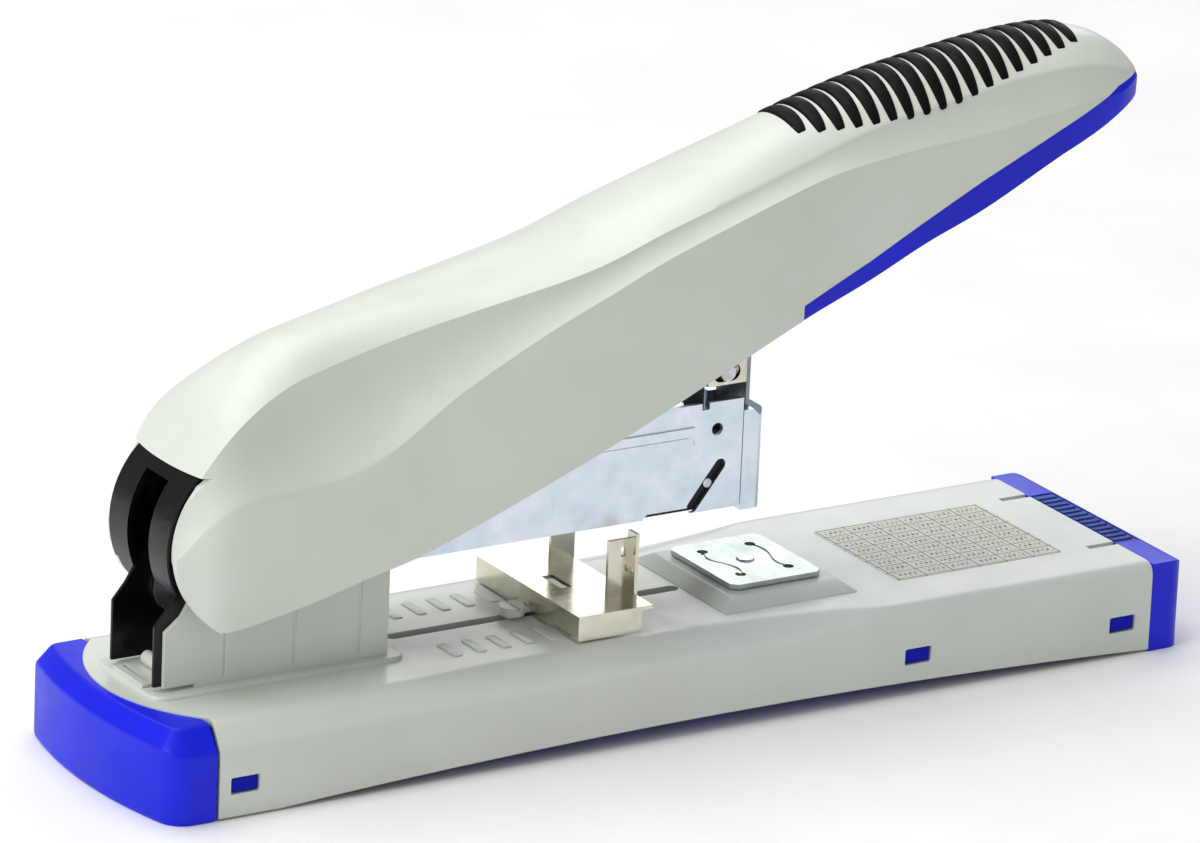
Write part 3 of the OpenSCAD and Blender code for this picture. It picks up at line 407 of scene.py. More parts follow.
def rolled_steel(name, tint, shade, roughness, line_mm=0.35, along=(30, 1, 1)):
    """Plated or bare rolled strip: long rolling lines, a cloudy plating and fine rub marks."""
    finish, tree, surface, place = start(name, Metallic=1.0)
    cloud = grain(tree, place, 7, detail=3)
    tree.links.new(ramp(tree, cloud, (0.3, linear(shade)), (0.72, linear(tint))),
                   surface.inputs["Base Color"])
    lines = grain(tree, place, line_mm, stretch=along, detail=3)
    blend = add(tree, "Math", {"operation": "MULTIPLY_ADD"}, {1: 0.5, 2: 0.25},
                {0: lines}).outputs["Value"]
    tree.links.new(spread(tree, blend, roughness - 0.06, roughness + 0.12),
                   surface.inputs["Roughness"])
    rubs = grain(tree, place, 0.8, stretch=(1, 14, 14), detail=2)
    relief(tree, surface, (lines, 0.008, 0.35), (rubs, 0.006, 0.2))
    return finish


def turned_steel(name, tint, roughness, ring_mm=0.22):
    """Turned or drawn steel: close tool rings round the bar and a light oil stain."""
    finish, tree, surface, place = start(name, Metallic=1.0)
    stain = grain(tree, place, 3, detail=4)
    tree.links.new(ramp(tree, stain, (0.25, linear("#8f9296")), (0.6, linear(tint))),
                   surface.inputs["Base Color"])
    rings = add(tree, "TexWave", {"wave_type": "BANDS", "bands_direction": "Y"},
                {"Scale": 1 / (ring_mm * 20 * MM), "Distortion": 1.5}, {"Vector": place})
    tree.links.new(spread(tree, stain, roughness, roughness + 0.12), surface.inputs["Roughness"])
    relief(tree, surface, (rings.outputs["Fac"], 0.004, 0.4), (grain(tree, place, 0.5), 0.004, 0.3))
    return finish


def black_lacquer():
    """Black stoving lacquer on steel: wet gloss, slight sags and a dusty bloom."""
    finish, tree, surface, place = start("black_lacquered_steel", IOR=1.52)
    surface.inputs["Coat Weight"].default_value = 0.08
    surface.inputs["Coat Roughness"].default_value = 0.12
    bloom = grain(tree, place, 11, detail=4)
    tree.links.new(ramp(tree, bloom, (0.35, linear("#050504")), (0.75, linear("#0e0c09"))),
                   surface.inputs["Base Color"])
    surface.inputs["Specular IOR Level"].default_value = 0.25
    tree.links.new(spread(tree, bloom, 0.26, 0.4), surface.inputs["Roughness"])
    relief(tree, surface, (grain(tree, place, 2.4, detail=2), 0.03, 0.5))
    return finish


def moulded_rubber():
    """Soft moulded rubber: matt, with a leather-fine grain and pale dust in it."""
    finish, tree, surface, place = start("moulded_black_rubber", IOR=1.5)
    surface.inputs["Specular IOR Level"].default_value = 0.12
    dust = grain(tree, place, 2.2, detail=5)
    tree.links.new(ramp(tree, dust, (0.4, linear("#040404")), (0.8, linear("#0d0c0b"))),
                   surface.inputs["Base Color"])
    tree.links.new(spread(tree, dust, 0.42, 0.6), surface.inputs["Roughness"])
    relief(tree, surface, (grain(tree, place, 0.35, detail=2), 0.03, 0.6))
    return finish


def acetal(name, light, dark, roughness):
    """Moulded acetal: waxy and slightly clouded."""
    finish, tree, surface, place = start(name, IOR=1.48)
    surface.inputs["Subsurface Weight"].default_value = 0.08
    surface.inputs["Subsurface Scale"].default_value = 1.5 * MM
    cloud = grain(tree, place, 4, detail=3)
    tree.links.new(ramp(tree, cloud, (0.3, linear(dark)), (0.7, linear(light))),
                   surface.inputs["Base Color"])
    tree.links.new(spread(tree, cloud, roughness - 0.04, roughness + 0.06),
                   surface.inputs["Roughness"])
    relief(tree, surface, (grain(tree, place, 0.5, detail=2), 0.01, 0.4))
    return finish


def printed_film(middle):
    """Matt printed film: a ruled table with broken dashes in its cells, and no lettering."""
    finish, tree, surface, place = start("printed_matt_film", IOR=1.46)
    laid = add(tree, "Mapping", inputs={"Location": [-v for v in middle]},
               links={"Vector": place}).outputs["Vector"]
    table = add(tree, "TexBrick", {"offset": 0.0, "squash": 1.0},
                {"Scale": 1.0, "Mortar Size": 0.16 * MM, "Mortar Smooth": 0.2,
                 "Brick Width": 7.6 * MM, "Row Height": 4.5 * MM}, {"Vector": laid})
    words = add(tree, "TexBrick", {"offset": 0.37, "squash": 1.0},
                {"Scale": 1.0, "Mortar Size": 0.3 * MM, "Mortar Smooth": 0.1,
                 "Brick Width": 1.35 * MM, "Row Height": 1.5 * MM}, {"Vector": laid})
    # each dash is inked or left out by a coarse noise, as print looks from a metre away
    lettered = ramp(tree, grain(tree, laid, 1.1, detail=3), (0.41, 0.0), (0.47, 1.0))
    rows = add(tree, "TexBrick", {"offset": 0.0, "squash": 1.0},
               {"Scale": 1.0, "Mortar Size": 0.95 * MM, "Mortar Smooth": 0.0,
                "Brick Width": 7.6 * MM, "Row Height": 4.5 * MM}, {"Vector": laid})
    ink = add(tree, "Math", {"operation": "MULTIPLY", "use_clamp": True},
              links={0: lettered, 1: add(tree, "Math", {"operation": "SUBTRACT", "use_clamp": True},
                                         {0: 1.0}, {1: words.outputs["Fac"]}).outputs["Value"]})
    inside = add(tree, "Math", {"operation": "SUBTRACT", "use_clamp": True},
                 links={0: ink.outputs["Value"], 1: rows.outputs["Fac"]})
    mark = add(tree, "Math", {"operation": "MAXIMUM"},
               links={0: inside.outputs["Value"], 1: table.outputs["Fac"]}).outputs["Value"]
    tree.links.new(ramp(tree, mark, (0.0, linear("#d6dac8")), (1.0, linear("#24240f"))),
                   surface.inputs["Base Color"])
    tree.links.new(spread(tree, grain(tree, place, 3), 0.4, 0.5), surface.inputs["Roughness"])
    relief(tree, surface, (mark, 0.01, 0.3), (grain(tree, place, 0.6), 0.01, 0.4))
    return finish


def floor_paint():
    """Pale matt studio board with a barely visible tooth."""
    finish, tree, surface, place = start("pale_studio_board")
    tree.links.new(ramp(tree, grain(tree, place, 60, detail=3), (0.3, linear("#f4f4f3")),
                        (0.7, linear("#fafaf9"))), surface.inputs["Base Color"])
    tree.links.new(spread(tree, grain(tree, place, 8), 0.7, 0.8), surface.inputs["Roughness"])
    return finish


off_white_abs = moulded_abs("off_white_moulded_abs", "#dbe1d7", "#d5dbd0", 0.36)
blue_abs = moulded_abs("blue_moulded_abs", "#0819e4", "#0716cc", 0.38, coat=0.0, shine=0.26)
strip_abs = moulded_abs("slate_blue_moulded_abs", "#2c4aa8", "#223c90", 0.5, coat=0.0, shine=0.2)
# a darker copy of the blue moulding for the tray: painted shade for the tray seen in the shadow behind
# the windows, which also throws less blue light onto the board
shaded_tray_abs = moulded_abs("shaded_blue_moulded_abs", "#0814b8", "#0610a0", 0.5, coat=0.0, shine=0.1)
deck_enamel = stove_enamel("off_white_stoved_enamel", "#d6dbd3", "#cfd4cb", 0.36)
zinc_strip = rolled_steel("blue_zinc_plated_strip", "#e9f1fa", "#d3e0ee", 0.3)
nickel_strip = rolled_steel("nickel_plated_strip", "#e2e0d4", "#cbc6b4", 0.18, line_mm=0.25)
anvil_steel = rolled_steel("ground_anvil_steel", "#c3ccc9", "#a3afac", 0.26, line_mm=0.3,
                           along=(1, 30, 1))
pin_steel = turned_steel("turned_bright_steel", "#dcdedf", 0.2)
spring_steel = turned_steel("drawn_spring_steel", "#8e9298", 0.26, ring_mm=0.4)
staple_wire = rolled_steel("galvanised_staple_wire", "#d9dde0", "#b4babf", 0.3, along=(1, 20, 1))
black_steel = black_lacquer()
black_rubber = moulded_rubber()
black_acetal = acetal("black_moulded_acetal", "#23211f", "#171615", 0.38)
white_acetal = acetal("white_moulded_acetal", "#f0f0ea", "#e4e4dc", 0.3)

# ---------------------------------------------------------------- places taken from the frame

pin_low, pin_high = box_mm("handle_hinge_pin")
pivot_x = (pin_low.x + pin_high.x) / 2
pivot_z = (pin_low.z + pin_high.z) / 2
shell_low, shell_high = box_mm("base_shell")
DECK = box_mm("anvil_pad")[0].z
anvil_low, anvil_high = box_mm("anvil_plate")
label_low, label_high = box_mm("rating_label")
bumper_low, bumper_high = box_mm("hinge_end_bumper")
END = shell_low.x + 11


# ---------------------------------------------------------------- handle

# lines of the handle, in mm forwards and up from the hinge
CROWN = [(-28, 3), (-22, 9), (-18, 17), (-14.5, 23.5), (-10, 29.5), (-4, 34.8), (4, 39.8), (13, 43.4),
         (39, 48.9), (70, 54), (86, 57.9), (102, 64), (134, 75.3), (150, 80.6), (166, 84.9),
         (183, 88), (199, 90.3), (212, 91.2), (220, 90.8), (228, 88.9), (233.6, 86), (237.5, 82.5),
         (240.4, 76)]
HEM = [(-28, -18), (-18, -16.6), (-12, -18.4), (6.5, -15.6), (24, -11.3), (41, -7), (82, 8.6),
       (105.6, 18.8), (124, 27), (141, 34), (159, 40.6), (174.8, 47.6), (190.6, 53.8),
       (211.4, 63.9), (224, 69.2), (233, 73.2), (240.4, 75)]
HALF_WIDTH = [(-28, 13.4), (-20, 17), (-12, 20.1), (0, 20.4), (115, 20.2), (160, 17.4), (215, 16.6),
              (228, 14.8), (234, 12.4), (238, 8.6), (240.4, 3)]
SHOULDER = [(-28, 2), (-5, 5), (15, 6.4), (41, 5.2), (68, 4), (100, 4.6), (150, 7.2), (230, 6),
            (240.4, 0.4)]
SCOOP = [(-28, 5), (-14, 16), (8, 29), (26, 30), (49, 20), (74, 12), (96, 9.6), (140, 11),
         (170, 15), (200, 17), (228, 12), (240.4, 0.8)]
DENT = [(-28, 0), (-8, 0.9), (8, 2.2), (26, 2.4), (49, 1.9), (74, 1.2), (100, 0.8), (140, 0.6),
        (200, 0.5), (240, 0)]
# share of the half width that the crown takes, before the scoop begins
CROWN_SHARE = [(-28, 0.86), (-12, 0.8), (8, 0.66), (26, 0.63), (49, 0.7), (74, 0.78), (96, 0.82),
               (140, 0.8), (200, 0.8), (240, 0.86)]
SEAM = [(140.6, 37.4), (159, 45.4), (174.4, 53.2), (190, 61), (211, 70.5), (229, 78.4), (244, 81.6)]
SKIN = 1.8
TIP = 240.4
TAIL = -28
# how round the crown is across, and the steps along the crown, the scoop and the flat side
CROWN_ROUND = 2.2
CROWN_STEPS, SCOOP_STEPS, FLAT_STEPS = 14, 12, 14


def handle_side(x, inset, hem):
    """One side of the handle's section, from the middle of the crown down to the hem."""
    top = curve(CROWN, x) - inset
    half = max(curve(HALF_WIDTH, x) - inset, 0.6)
    flat = curve(CROWN_SHARE, x) * half
    shoulder = curve(SHOULDER, x)
    scoop = curve(SCOOP, x)
    side = [(flat * k / CROWN_STEPS, top - shoulder * (k / CROWN_STEPS) ** CROWN_ROUND)
            for k in range(CROWN_STEPS + 1)]
    middle = ((flat + half) / 2 - curve(DENT, x), top - (shoulder + scoop) / 2)
    ends = (side[-1], (half, top - scoop))
    bend = [2 * m - (a + b) / 2 for m, a, b in zip(middle, *ends)]
    for k in range(1, SCOOP_STEPS + 1):
        u = k / SCOOP_STEPS
        side.append(tuple(a * (1 - u) ** 2 + 2 * c * u * (1 - u) + b * u**2
                          for a, b, c in zip(*ends, bend)))
    edge = side[-1][1]
    below = max(edge - hem, 0.4)
    draft = 0.2
    side += [(half - draft * (k / FLAT_STEPS) ** 2, edge - below * k / FLAT_STEPS)
             for k in range(1, FLAT_STEPS + 1)]
    return side


def evened(line, count, passes):
    """The same line with even steps, and its corners eased by a few passes of averaging."""
    lengths = [0.0]
    for a, b in zip(line, line[1:]):
        lengths.append(lengths[-1] + math.dist(a, b))
    even = []
    k = 0
    for s in span(0, lengths[-1] - 1e-9, count):
        while lengths[k + 1] < s:
            k += 1
        u = (s - lengths[k]) / max(lengths[k + 1] - lengths[k], 1e-9)
        even.append(tuple(a + (b - a) * u for a, b in zip(line[k], line[k + 1])))
    for _ in range(passes):
        even = even[:1] + [tuple((a + 2 * b + c) / 4 for a, b, c in zip(p, q, r))
                           for p, q, r in zip(even, even[1:], even[2:])] + even[-1:]
    return even


def handle_form(name, inset, drop, start_x, stop_x, count):
    """A closed solid through the handle's sections, drawn in by inset, its foot lowered by drop."""
    crown_edge, scoop_edge = CROWN_STEPS, CROWN_STEPS + SCOOP_STEPS
    tip_length, crowding = 14, 4
    rings = []
    for k in range(count):
        x = start_x + (stop_x - start_x) * k / (count - 1)
        near_tip = max(0.0, (x - (stop_x - tip_length)) / tip_length)
        x += near_tip * (1 - near_tip) * crowding
        # the crown's edge and the scoop's lower edge stay crisp, so each stretch is evened by itself
        whole = handle_side(x, inset, curve(HEM, x) - drop)
        side = (evened(whole[:crown_edge + 1], 20, 2)[:-1]
                + evened(whole[crown_edge:scoop_edge + 1], 26, 2)[:-1]
                + evened(whole[scoop_edge:], 20, 1))
        ring = [(pivot_x + x, -y, pivot_z + z) for y, z in reversed(side[1:])]
        ring += [(pivot_x + x, y, pivot_z + z) for y, z in side]
        rings.append(ring)
    return loft(name, rings)


def below_seam(name, gap):
    """Everything under the seam between shell and hand pad, and in front of its step."""
    line = [(pivot_x + x, pivot_z + z - gap) for x, z in SEAM]
    line[0] = (line[0][0] + gap, line[0][1])
    return plate(name, line + [(pivot_x + 262, pivot_z - 30), (line[0][0], pivot_z - 30)], -40, 40)


def rear_mouth():
    """What is cleared from the back of the shell: outside the rear arc, and the mouth itself."""
    half, rear_radius = 13.9, 22.2
    back, floor, lip = pivot_x - 60, pivot_z - 40, pivot_z + 17.4
    outside = block("rear_space", (back, -45, floor), (pivot_x - 2, 45, lip))
    cut(outside, rod("rear_arc", (pivot_x, 0, pivot_z), rear_radius, 100, sides=180))
    mouth = block("rear_opening", (back, -half, floor), (pivot_x - 6, half, lip))
    round_edges(mouth, lambda m, w: abs(w.x) > 0.9 and m.z > lip - 1, 3.5, 8)
    return outside, mouth


def make_handle():
    """The off-white shell, hollow and open below, and the blue hand pad let in under its grip."""
    shell = handle_form("handle_shell_moulded", 0, 0, TAIL, TIP, 190)
    hollow = handle_form("handle_hollow", SKIN, 12, TAIL - 3, TIP - 4, 150)
    cut(shell, hollow, below_seam("seam_tool", 0), *rear_mouth())
    smooth(shell, 38)
    mount(shell, "handle", "off_white_plastic", off_white_abs, "handle_shell")

    grip = handle_form("under_grip_moulded", 0.12, 0, 126, TIP, 120)
    keep(grip, below_seam("seam_match", 0.14))
    hollow = handle_form("grip_hollow", 2, -2.2, 150, TIP - 6, 60)
    cut(grip, hollow)
    smooth(grip, 38)
    mount(grip, "handle", "blue_plastic", blue_abs, "under_grip")


def make_grip_ribs():
    """Eighteen lens-shaped ribs across the grip, full in the middle and drawn out at both ends."""
    count = 18
    across_steps, round_steps = 16, 12
    top = box_mm("grip_ribs")[1].z - 0.02
    first, pitch = 143.8, 4.45
    # half length, half width and height of a rib: the least, and what its full middle adds
    least_reach, more_reach = 6.5, 7.5
    least_wide, more_wide = 0.85, 1.0
    least_proud, more_proud, sunk = 0.1, 0.48, 0.7
    ribs = []
    for i in range(count):
        x = first + i * pitch
        share = (i + 0.5) / count
        reach = least_reach + more_reach * math.sin(math.pi * share ** 0.85) ** 0.6
        half = curve(HALF_WIDTH, x) * curve(CROWN_SHARE, x)
        rings = []
        for k in range(2 * across_steps + 1):
            y = reach * math.sin(math.pi / 2 * (k / across_steps - 1))
            full = max(1 - (y / reach) ** 2, 0.0)
            wide = least_wide + more_wide * full ** 0.5
            proud = least_proud + more_proud * full ** 0.3
            ring = []
            for turn in range(round_steps):
                t = 2 * math.pi * turn / round_steps
                place = x + wide * math.copysign(abs(math.cos(t)) ** 0.6, math.cos(t))
                rise = math.copysign(abs(math.sin(t)) ** 0.7, math.sin(t))
                rise *= proud if rise > 0 else sunk
                skin = curve(CROWN, place) - curve(SHOULDER, place) * abs(y / half) ** CROWN_ROUND
                ring.append((pivot_x + place, y, min(pivot_z + skin + rise, top)))
            rings.append(ring)
        ribs.append(loft(f"grip_rib_{i + 1:02d}", rings))
    field = join(*ribs)
    field.name = "grip_ribs_moulded"
    smooth(field, 60)
    mount(field, "handle", "black_rubber", black_rubber, "grip_ribs")


# ---------------------------------------------------------------- base

# half width of the flat deck and height of the sides' upper edge, along the base
DECK_START = shell_high.x - 253.5
DECK_HALF = [(DECK_START, 30), (-74, 27.4), (-44, 25.2), (17.8, 25.2), (39.8, 28), (57.8, 33),
             (140, 33.2)]
SIDE_TOP = [(DECK_START, 16.6), (-44, 17.9), (17.8, 19), (57.8, 21), (140, 21)]
SHEET = 1.4
SEAT_RADIUS = 39


def eased(table, x):
    """A line through listed points that levels out at each of them."""
    for (a, low), (b, high) in zip(table, table[1:]):
        if x <= b:
            u = max(0.0, (x - a) / (b - a))
            return low + (high - low) * (1 - math.cos(math.pi * u)) / 2
    return table[-1][1]


def base_form(name, wall, start_x, stop_x, count, passes):
    """The base's solid form, drawn in by a wall: flat deck, sloped shoulders and upright sides."""
    half = shell_high.y - wall
    rings = []
    for x in span(start_x, stop_x, count):
        deck = eased(DECK_HALF, x) - wall * 0.4
        edge = eased(SIDE_TOP, x) - wall * 0.4
        side = evened([(0, DECK - wall), (deck, DECK - wall), (half, edge), (half, -5)], 60, passes)
        rings.append([(x, -y, z) for y, z in reversed(side[1:])] + [(x, y, z) for y, z in side])
    return loft(name, rings)


def deck_outline(name):
    """The deck's plan: square at the paper end, a rounded tongue at the hinge end."""
    centre = bumper_low.x + 4.95 + SEAT_RADIUS
    swing = math.degrees(math.acos((centre - END - 0.6) / SEAT_RADIUS))
    tongue = arc(centre, 0, SEAT_RADIUS, 180 - swing, 180 + swing, 40)
    side = shell_high.y + 1
    square = [(END, -side), (shell_high.x, -side), (shell_high.x, side), (END, side)]
    return floor_plan(name, square + tongue, shell_low.z, DECK + 3)


def long_slot(name, x_low, x_high, width, z_low, z_high):
    ends = arc(x_high, 0, width / 2, -90, 90, 16) + arc(x_low, 0, width / 2, 90, 270, 16)
    return floor_plan(name, ends, z_low, z_high)


def raised_pad(name, low, high, corner, corner_segments, rim, rim_segments, rim_z):
    """A low pad on the deck: rounded corners in plan and a rounded rim."""
    piece = round_block(name, low, high, "z", corner, corner_segments)
    round_edges(piece, lambda m, w: m.z > rim_z, rim, rim_segments)
    return piece


def make_base():
    """The pressed base with its slot, windows and grooves, its bracket ramp and depth marks."""
    shell = base_form("base_shell_pressed", 0, shell_low.x - 2, shell_high.x, 110, 3)
    keep(shell, deck_outline("deck_trim"))
    hollow = base_form("base_hollow", SHEET, shell_low.x - 4, shell_high.x + 4, 60, 0)
    arch_half = (cad_box[1].x - cad_box[0].x) / 2 / MM - 22
    arch_rise = 3.4
    arch_radius = (arch_half ** 2 + arch_rise ** 2) / (2 * arch_rise)
    arch = rod("skirt_arch", (10, 0, shell_low.z + arch_rise - arch_radius), arch_radius, 90,
               sides=720)
    slot = long_slot("guide_slot", -60, 15.5, 3.4, DECK - 4, DECK + 4)
    cut(shell, hollow, arch, slot)
    window_half_x, window_half_z = 3.7, 2
    for i, (x, z) in enumerate([(-117.3, 7.9), (62.8, 9.6), (121, 8.2)]):
        cut(shell, round_block(f"window_{i}", (x - window_half_x, -45, z - window_half_z),
                               (x + window_half_x, 45, z + window_half_z), "y", 0.5, 4))
    cut(shell, rod("anvil_pivot_hole", ((anvil_low.x + anvil_high.x) / 2, 0, DECK), 2.5, 12))
    groove_y, groove_half, groove_depth = 18.6, 1, 1.2
    for side in (-1, 1):
        cut(shell, block("cap_groove", (121, side * groove_y - groove_half, DECK - groove_depth),
                         (130.5, side * groove_y + groove_half, DECK + 2)))
    smooth(shell, 25)

    ramp_low, ramp_high = box_mm("hinge_bracket")
    ramp_half = 14.6
    ramp = raised_pad("bracket_ramp", (ramp_low.x - 4, -ramp_half, DECK - 0.8),
                      (ramp_high.x + 4, ramp_half, DECK + 0.9), 4, 8, 0.8, 4, DECK + 0.8)
    smooth(ramp, 40)
    first_x, pitch, mark_x, mark_y, mark_middle, mark_z = -54, 6.5, 2.6, 8.5, 13.6, 0.28
    marks = []
    for i in range(5):
        x = first_x + i * pitch
        for side in (-1, 1):
            y = side * mark_middle
            mark = raised_pad(f"depth_mark_{i}", (x, y - mark_y / 2, DECK - 0.3),
                              (x + mark_x, y + mark_y / 2, DECK + mark_z), 0.7, 4, 0.22, 3, DECK + 0.2)
            smooth(mark, 40)
            marks.append(mark)
    join(shell, ramp, *marks)
    mount(shell, "base", "off_white_paint", deck_enamel, "base_shell")


def bowed_plan(radius, corner, half, back):
    """Plan of the end bumper from one side round the bowed end to the other: x, y and the way out."""
    centre = bumper_low.x + radius
    across = half - corner
    corner_x = centre - math.sqrt((radius - corner) ** 2 - across ** 2)
    bow = math.degrees(math.asin(across / (radius - corner)))
    plan = [(x, -half, 0, -1) for x in span(back, corner_x + 1, 6)]
    bends = ((corner_x, -across, corner, 270, 180 + bow, 16),
             (centre, 0, radius, 180 + bow, 180 - bow, 60),
             (corner_x, across, corner, 180 - bow, 90, 16))
    for mid_x, mid_y, size, begin, end, steps in bends:
        for k in range(steps + 1):
            t = math.radians(begin + (end - begin) * k / steps)
            way = (math.cos(t), math.sin(t))
            plan.append((mid_x + size * way[0], mid_y + size * way[1], *way))
    plan += [(x, half, 0, 1) for x in span(corner_x + 1, back, 6)]
    # neighbouring bends share an end point, which is kept once
    same = 0.01
    return plan[:1] + [p for last, p in zip(plan, plan[1:]) if math.dist(p[:2], last[:2]) > same]


def make_bumper():
    """The moulded bumper: an upright bowed face, a sloped band round its top and a flat crescent."""
    half, back, top = bumper_high.y, bumper_high.x, bumper_high.z
    wall = 2.2
    plan = bowed_plan(122, 6.5, half, back)
    columns = []
    for x, y, out_x, out_y in plan:
        turn = abs(out_y) ** 1.5
        lip, slope = 18.2 - 1.7 * turn, 3.2 + 1.1 * turn
        line = evened([(0.5, 0), (0, 0.5), (0, lip), (slope, top), (slope + 1, top)], 70, 3)
        columns.append([(x - out_x * inward, y - out_y * inward, z) for inward, z in line])
    body = loft("hinge_end_bumper_moulded", [list(ring) for ring in zip(*columns)])
    seat = rod("deck_seat", (bumper_low.x + 4.9 + SEAT_RADIUS, 0, 10), SEAT_RADIUS, 40, "Z", 180)
    inner = [(x - out_x * wall, y - out_y * wall) for x, y, out_x, out_y in plan]
    inner[0], inner[-1] = (back + 4, inner[0][1]), (back + 4, inner[-1][1])
    cut(body, seat, floor_plan("bumper_hollow", inner, -1, 19.2))
    smooth(body, 38)
    mount(body, "base", "blue_plastic", blue_abs, "hinge_end_bumper")


def make_anvil():
    """The turning plate: cropped corners and two curved clinch grooves with a pit at both ends."""
    middle = (anvil_low + anvil_high) / 2
    half_x, half_y, crop = (anvil_high.x - anvil_low.x) / 2, (anvil_high.y - anvil_low.y) / 2, 1.6
    corners = [(half_x - crop, half_y), (half_x, half_y - crop)]
    plan = corners + [(x, -y) for x, y in reversed(corners)]
    plan += [(-x, -y) for x, y in corners] + [(-x, y) for x, y in reversed(corners)]
    top = anvil_high.z
    blank = floor_plan("anvil_plate_ground", [(middle.x + x, y) for x, y in plan], anvil_low.z, top)
    groove_x, groove_half_y, pit_y = 6.6, 8.5, 8.4
    half_line, depth = 0.45, 0.3
    for side, bow in ((-1, 1.5), (1, -1.0)):
        pair_x = middle.x + side * groove_x
        line = [(pair_x + bow * math.sin(math.pi * k / 12), groove_half_y * (k / 12 - 1))
                for k in range(25)]
        edge = [(x - half_line, y) for x, y in line]
        edge += [(x + half_line, y) for x, y in reversed(line)]
        cut(blank, floor_plan("clinch_groove", edge, top - depth, top + 1))
        for y in (-pit_y, pit_y):
            cut(blank, rod("clinch_pit", (pair_x, y, top), 1.5, 2.2, "Z", 40, 1.1))
    cut(blank, rod("pivot_bore", (middle.x, 0, middle.z), 1.6, 6, "Z", 48))
    soften(blank, 0.16, 2, 40)
    mount(blank, "anvil", "bright_steel", anvil_steel, "anvil_plate")


def make_label():
    """The film, with its corners rounded and its edge just proud of the deck."""
    film = round_block("printed_label_film", label_low, label_high, "z", 1.2, 6)
    smooth(film)
    mount(film, "base", "label_film", printed_film((label_low + label_high) / 2 * MM), "rating_label")


# ---------------------------------------------------------------- magazine cover and cap strip

def long_plate(name, x_low, x_high, z, half, y_low, y_high):
    """A round-ended bar along x, cut from plate."""
    ends = arc(x_high, z, half, -90, 90, 16) + arc(x_low, z, half, 90, 270, 16)
    return plate(name, ends, y_low, y_high)


def make_magazine():
    """The cover of the magazine arm, with a long bead pressed in each wall."""
    piece = refined("magazine_cover", 0.2, 2)
    cover_high = box_mm("magazine_cover")[1]
    bead = (cover_high.x - 64, cover_high.x - 15.4, cover_high.z - 9.3)
    bead_half, line, depth = 2.0, 0.45, 0.22
    for side in (-1, 1):
        wall = side * cover_high.y
        low, high = sorted((wall - side * depth, wall + side * 0.6))
        outer = long_plate("bead_line", *bead, bead_half, low, high)
        cut(outer, long_plate("bead_crown", *bead, bead_half - line, low - 1, high + 1))
        cut(piece, outer)
    smooth(piece, 32)
    modify(piece, "WEIGHTED_NORMAL", keep_sharp=True)
    mount(piece, "arm", "zinc_steel", zinc_strip, "magazine_cover")


def make_cap_strip():
    """The ribbed strip in the end cap: a plain bar with thirteen ribs across its top."""
    low, high = box_mm("cap_grip_strip")
    bar = block("cap_grip_strip_moulded", low, (high.x, high.y, high.z - 0.35))
    soften(bar, 0.15, 2)
    count, margin, rim, rib_tall = 13, 1, 0.6, 0.6
    pitch = (high.y - low.y - 2 * margin) / count
    rib_half = pitch * 0.28
    ribs = []
    for i in range(count):
        y = low.y + margin + (i + 0.5) * pitch
        rib = block("grip_rib_small", (low.x + rim, y - rib_half, high.z - rib_tall),
                    (high.x - rim, y + rib_half, high.z))
        soften(rib, 0.16, 2)
        ribs.append(rib)
    join(bar, *ribs)
    mount(bar, "base", slots["cap_grip_strip"], strip_abs, "cap_grip_strip")


# ---------------------------------------------------------------- springs

def coil(name, radius, wire, length, turns, axis, foot):
    """A wire circle wound up by a screw, closed at both ends and laid along an axis from its foot."""
    put_down()
    bpy.ops.mesh.primitive_circle_add(vertices=12, radius=wire / 2 * MM, fill_type="NOTHING",
                                      location=(radius * MM, 0, 0), rotation=(math.pi / 2, 0, 0))
    piece = named(name)
    modify(piece, "SCREW", axis="Z", angle=2 * math.pi, screw_offset=length / turns * MM,
           iterations=turns, steps=28, render_steps=28, use_merge_vertices=False)
    open_mesh(piece)
    bpy.ops.mesh.select_mode(type="EDGE")
    bpy.ops.mesh.select_non_manifold()
    bpy.ops.mesh.fill_holes(sides=0)
    bpy.ops.mesh.select_all(action="SELECT")
    bpy.ops.mesh.fill_holes(sides=0)
    bpy.ops.mesh.normals_make_consistent(inside=False)
    put_down()
    piece.rotation_euler = TURNS[axis]
    piece.location = [v * MM for v in foot]
    take(piece)
    bpy.ops.object.transform_apply(location=True, rotation=True, scale=True)
    smooth(piece, 60)
    return piece


def make_springs():
    """The arm's lift spring, the pusher's spring and the handle's torsion spring."""
    low, high = box_mm("lift_spring")
    wire = 1.0
    foot = ((low.x + high.x) / 2, 0, low.z + wire / 2)
    tall = high.z - low.z - wire
    lift = coil("lift_spring_wound", (high.x - low.x - wire) / 2, wire, tall, 6, "Z", foot)
    mount(lift, "base", "spring_steel", spring_steel, "lift_spring")
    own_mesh(lift)

    low, high = box_mm("pusher_spring")
    wire = 0.6
    foot = (low.x + wire / 2, 0, (low.z + high.z) / 2)
    long = high.x - low.x - wire
    push = coil("pusher_spring_wound", (high.z - low.z - wire) / 2, wire, long, 16, "X", foot)
    mount(push, "arm", "spring_steel", spring_steel, "pusher_spring")
    # the pusher's full stroke is 45 mm
    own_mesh(push)

    low, high = box_mm("torsion_spring")
    wire, radius = 1.2, 4.6
    half = (high.y - low.y - wire) / 2
    wound = coil("torsion_spring_wound", radius, wire, 2 * half, 8, "Y", (pivot_x, half, pivot_z))
    down = rod("spring_leg_down", (pivot_x + radius, half, (low.z + pivot_z) / 2), wire / 2,
               pivot_z - low.z, "Z", 12)
    up = rod("spring_leg_up", (pivot_x + radius, -half, (high.z + pivot_z) / 2), wire / 2,
             high.z - pivot_z, "Z", 12)
    join(wound, down, up)
    smooth(wound, 60)
    mount(wound, "handle", "spring_steel", spring_steel, "torsion_spring")


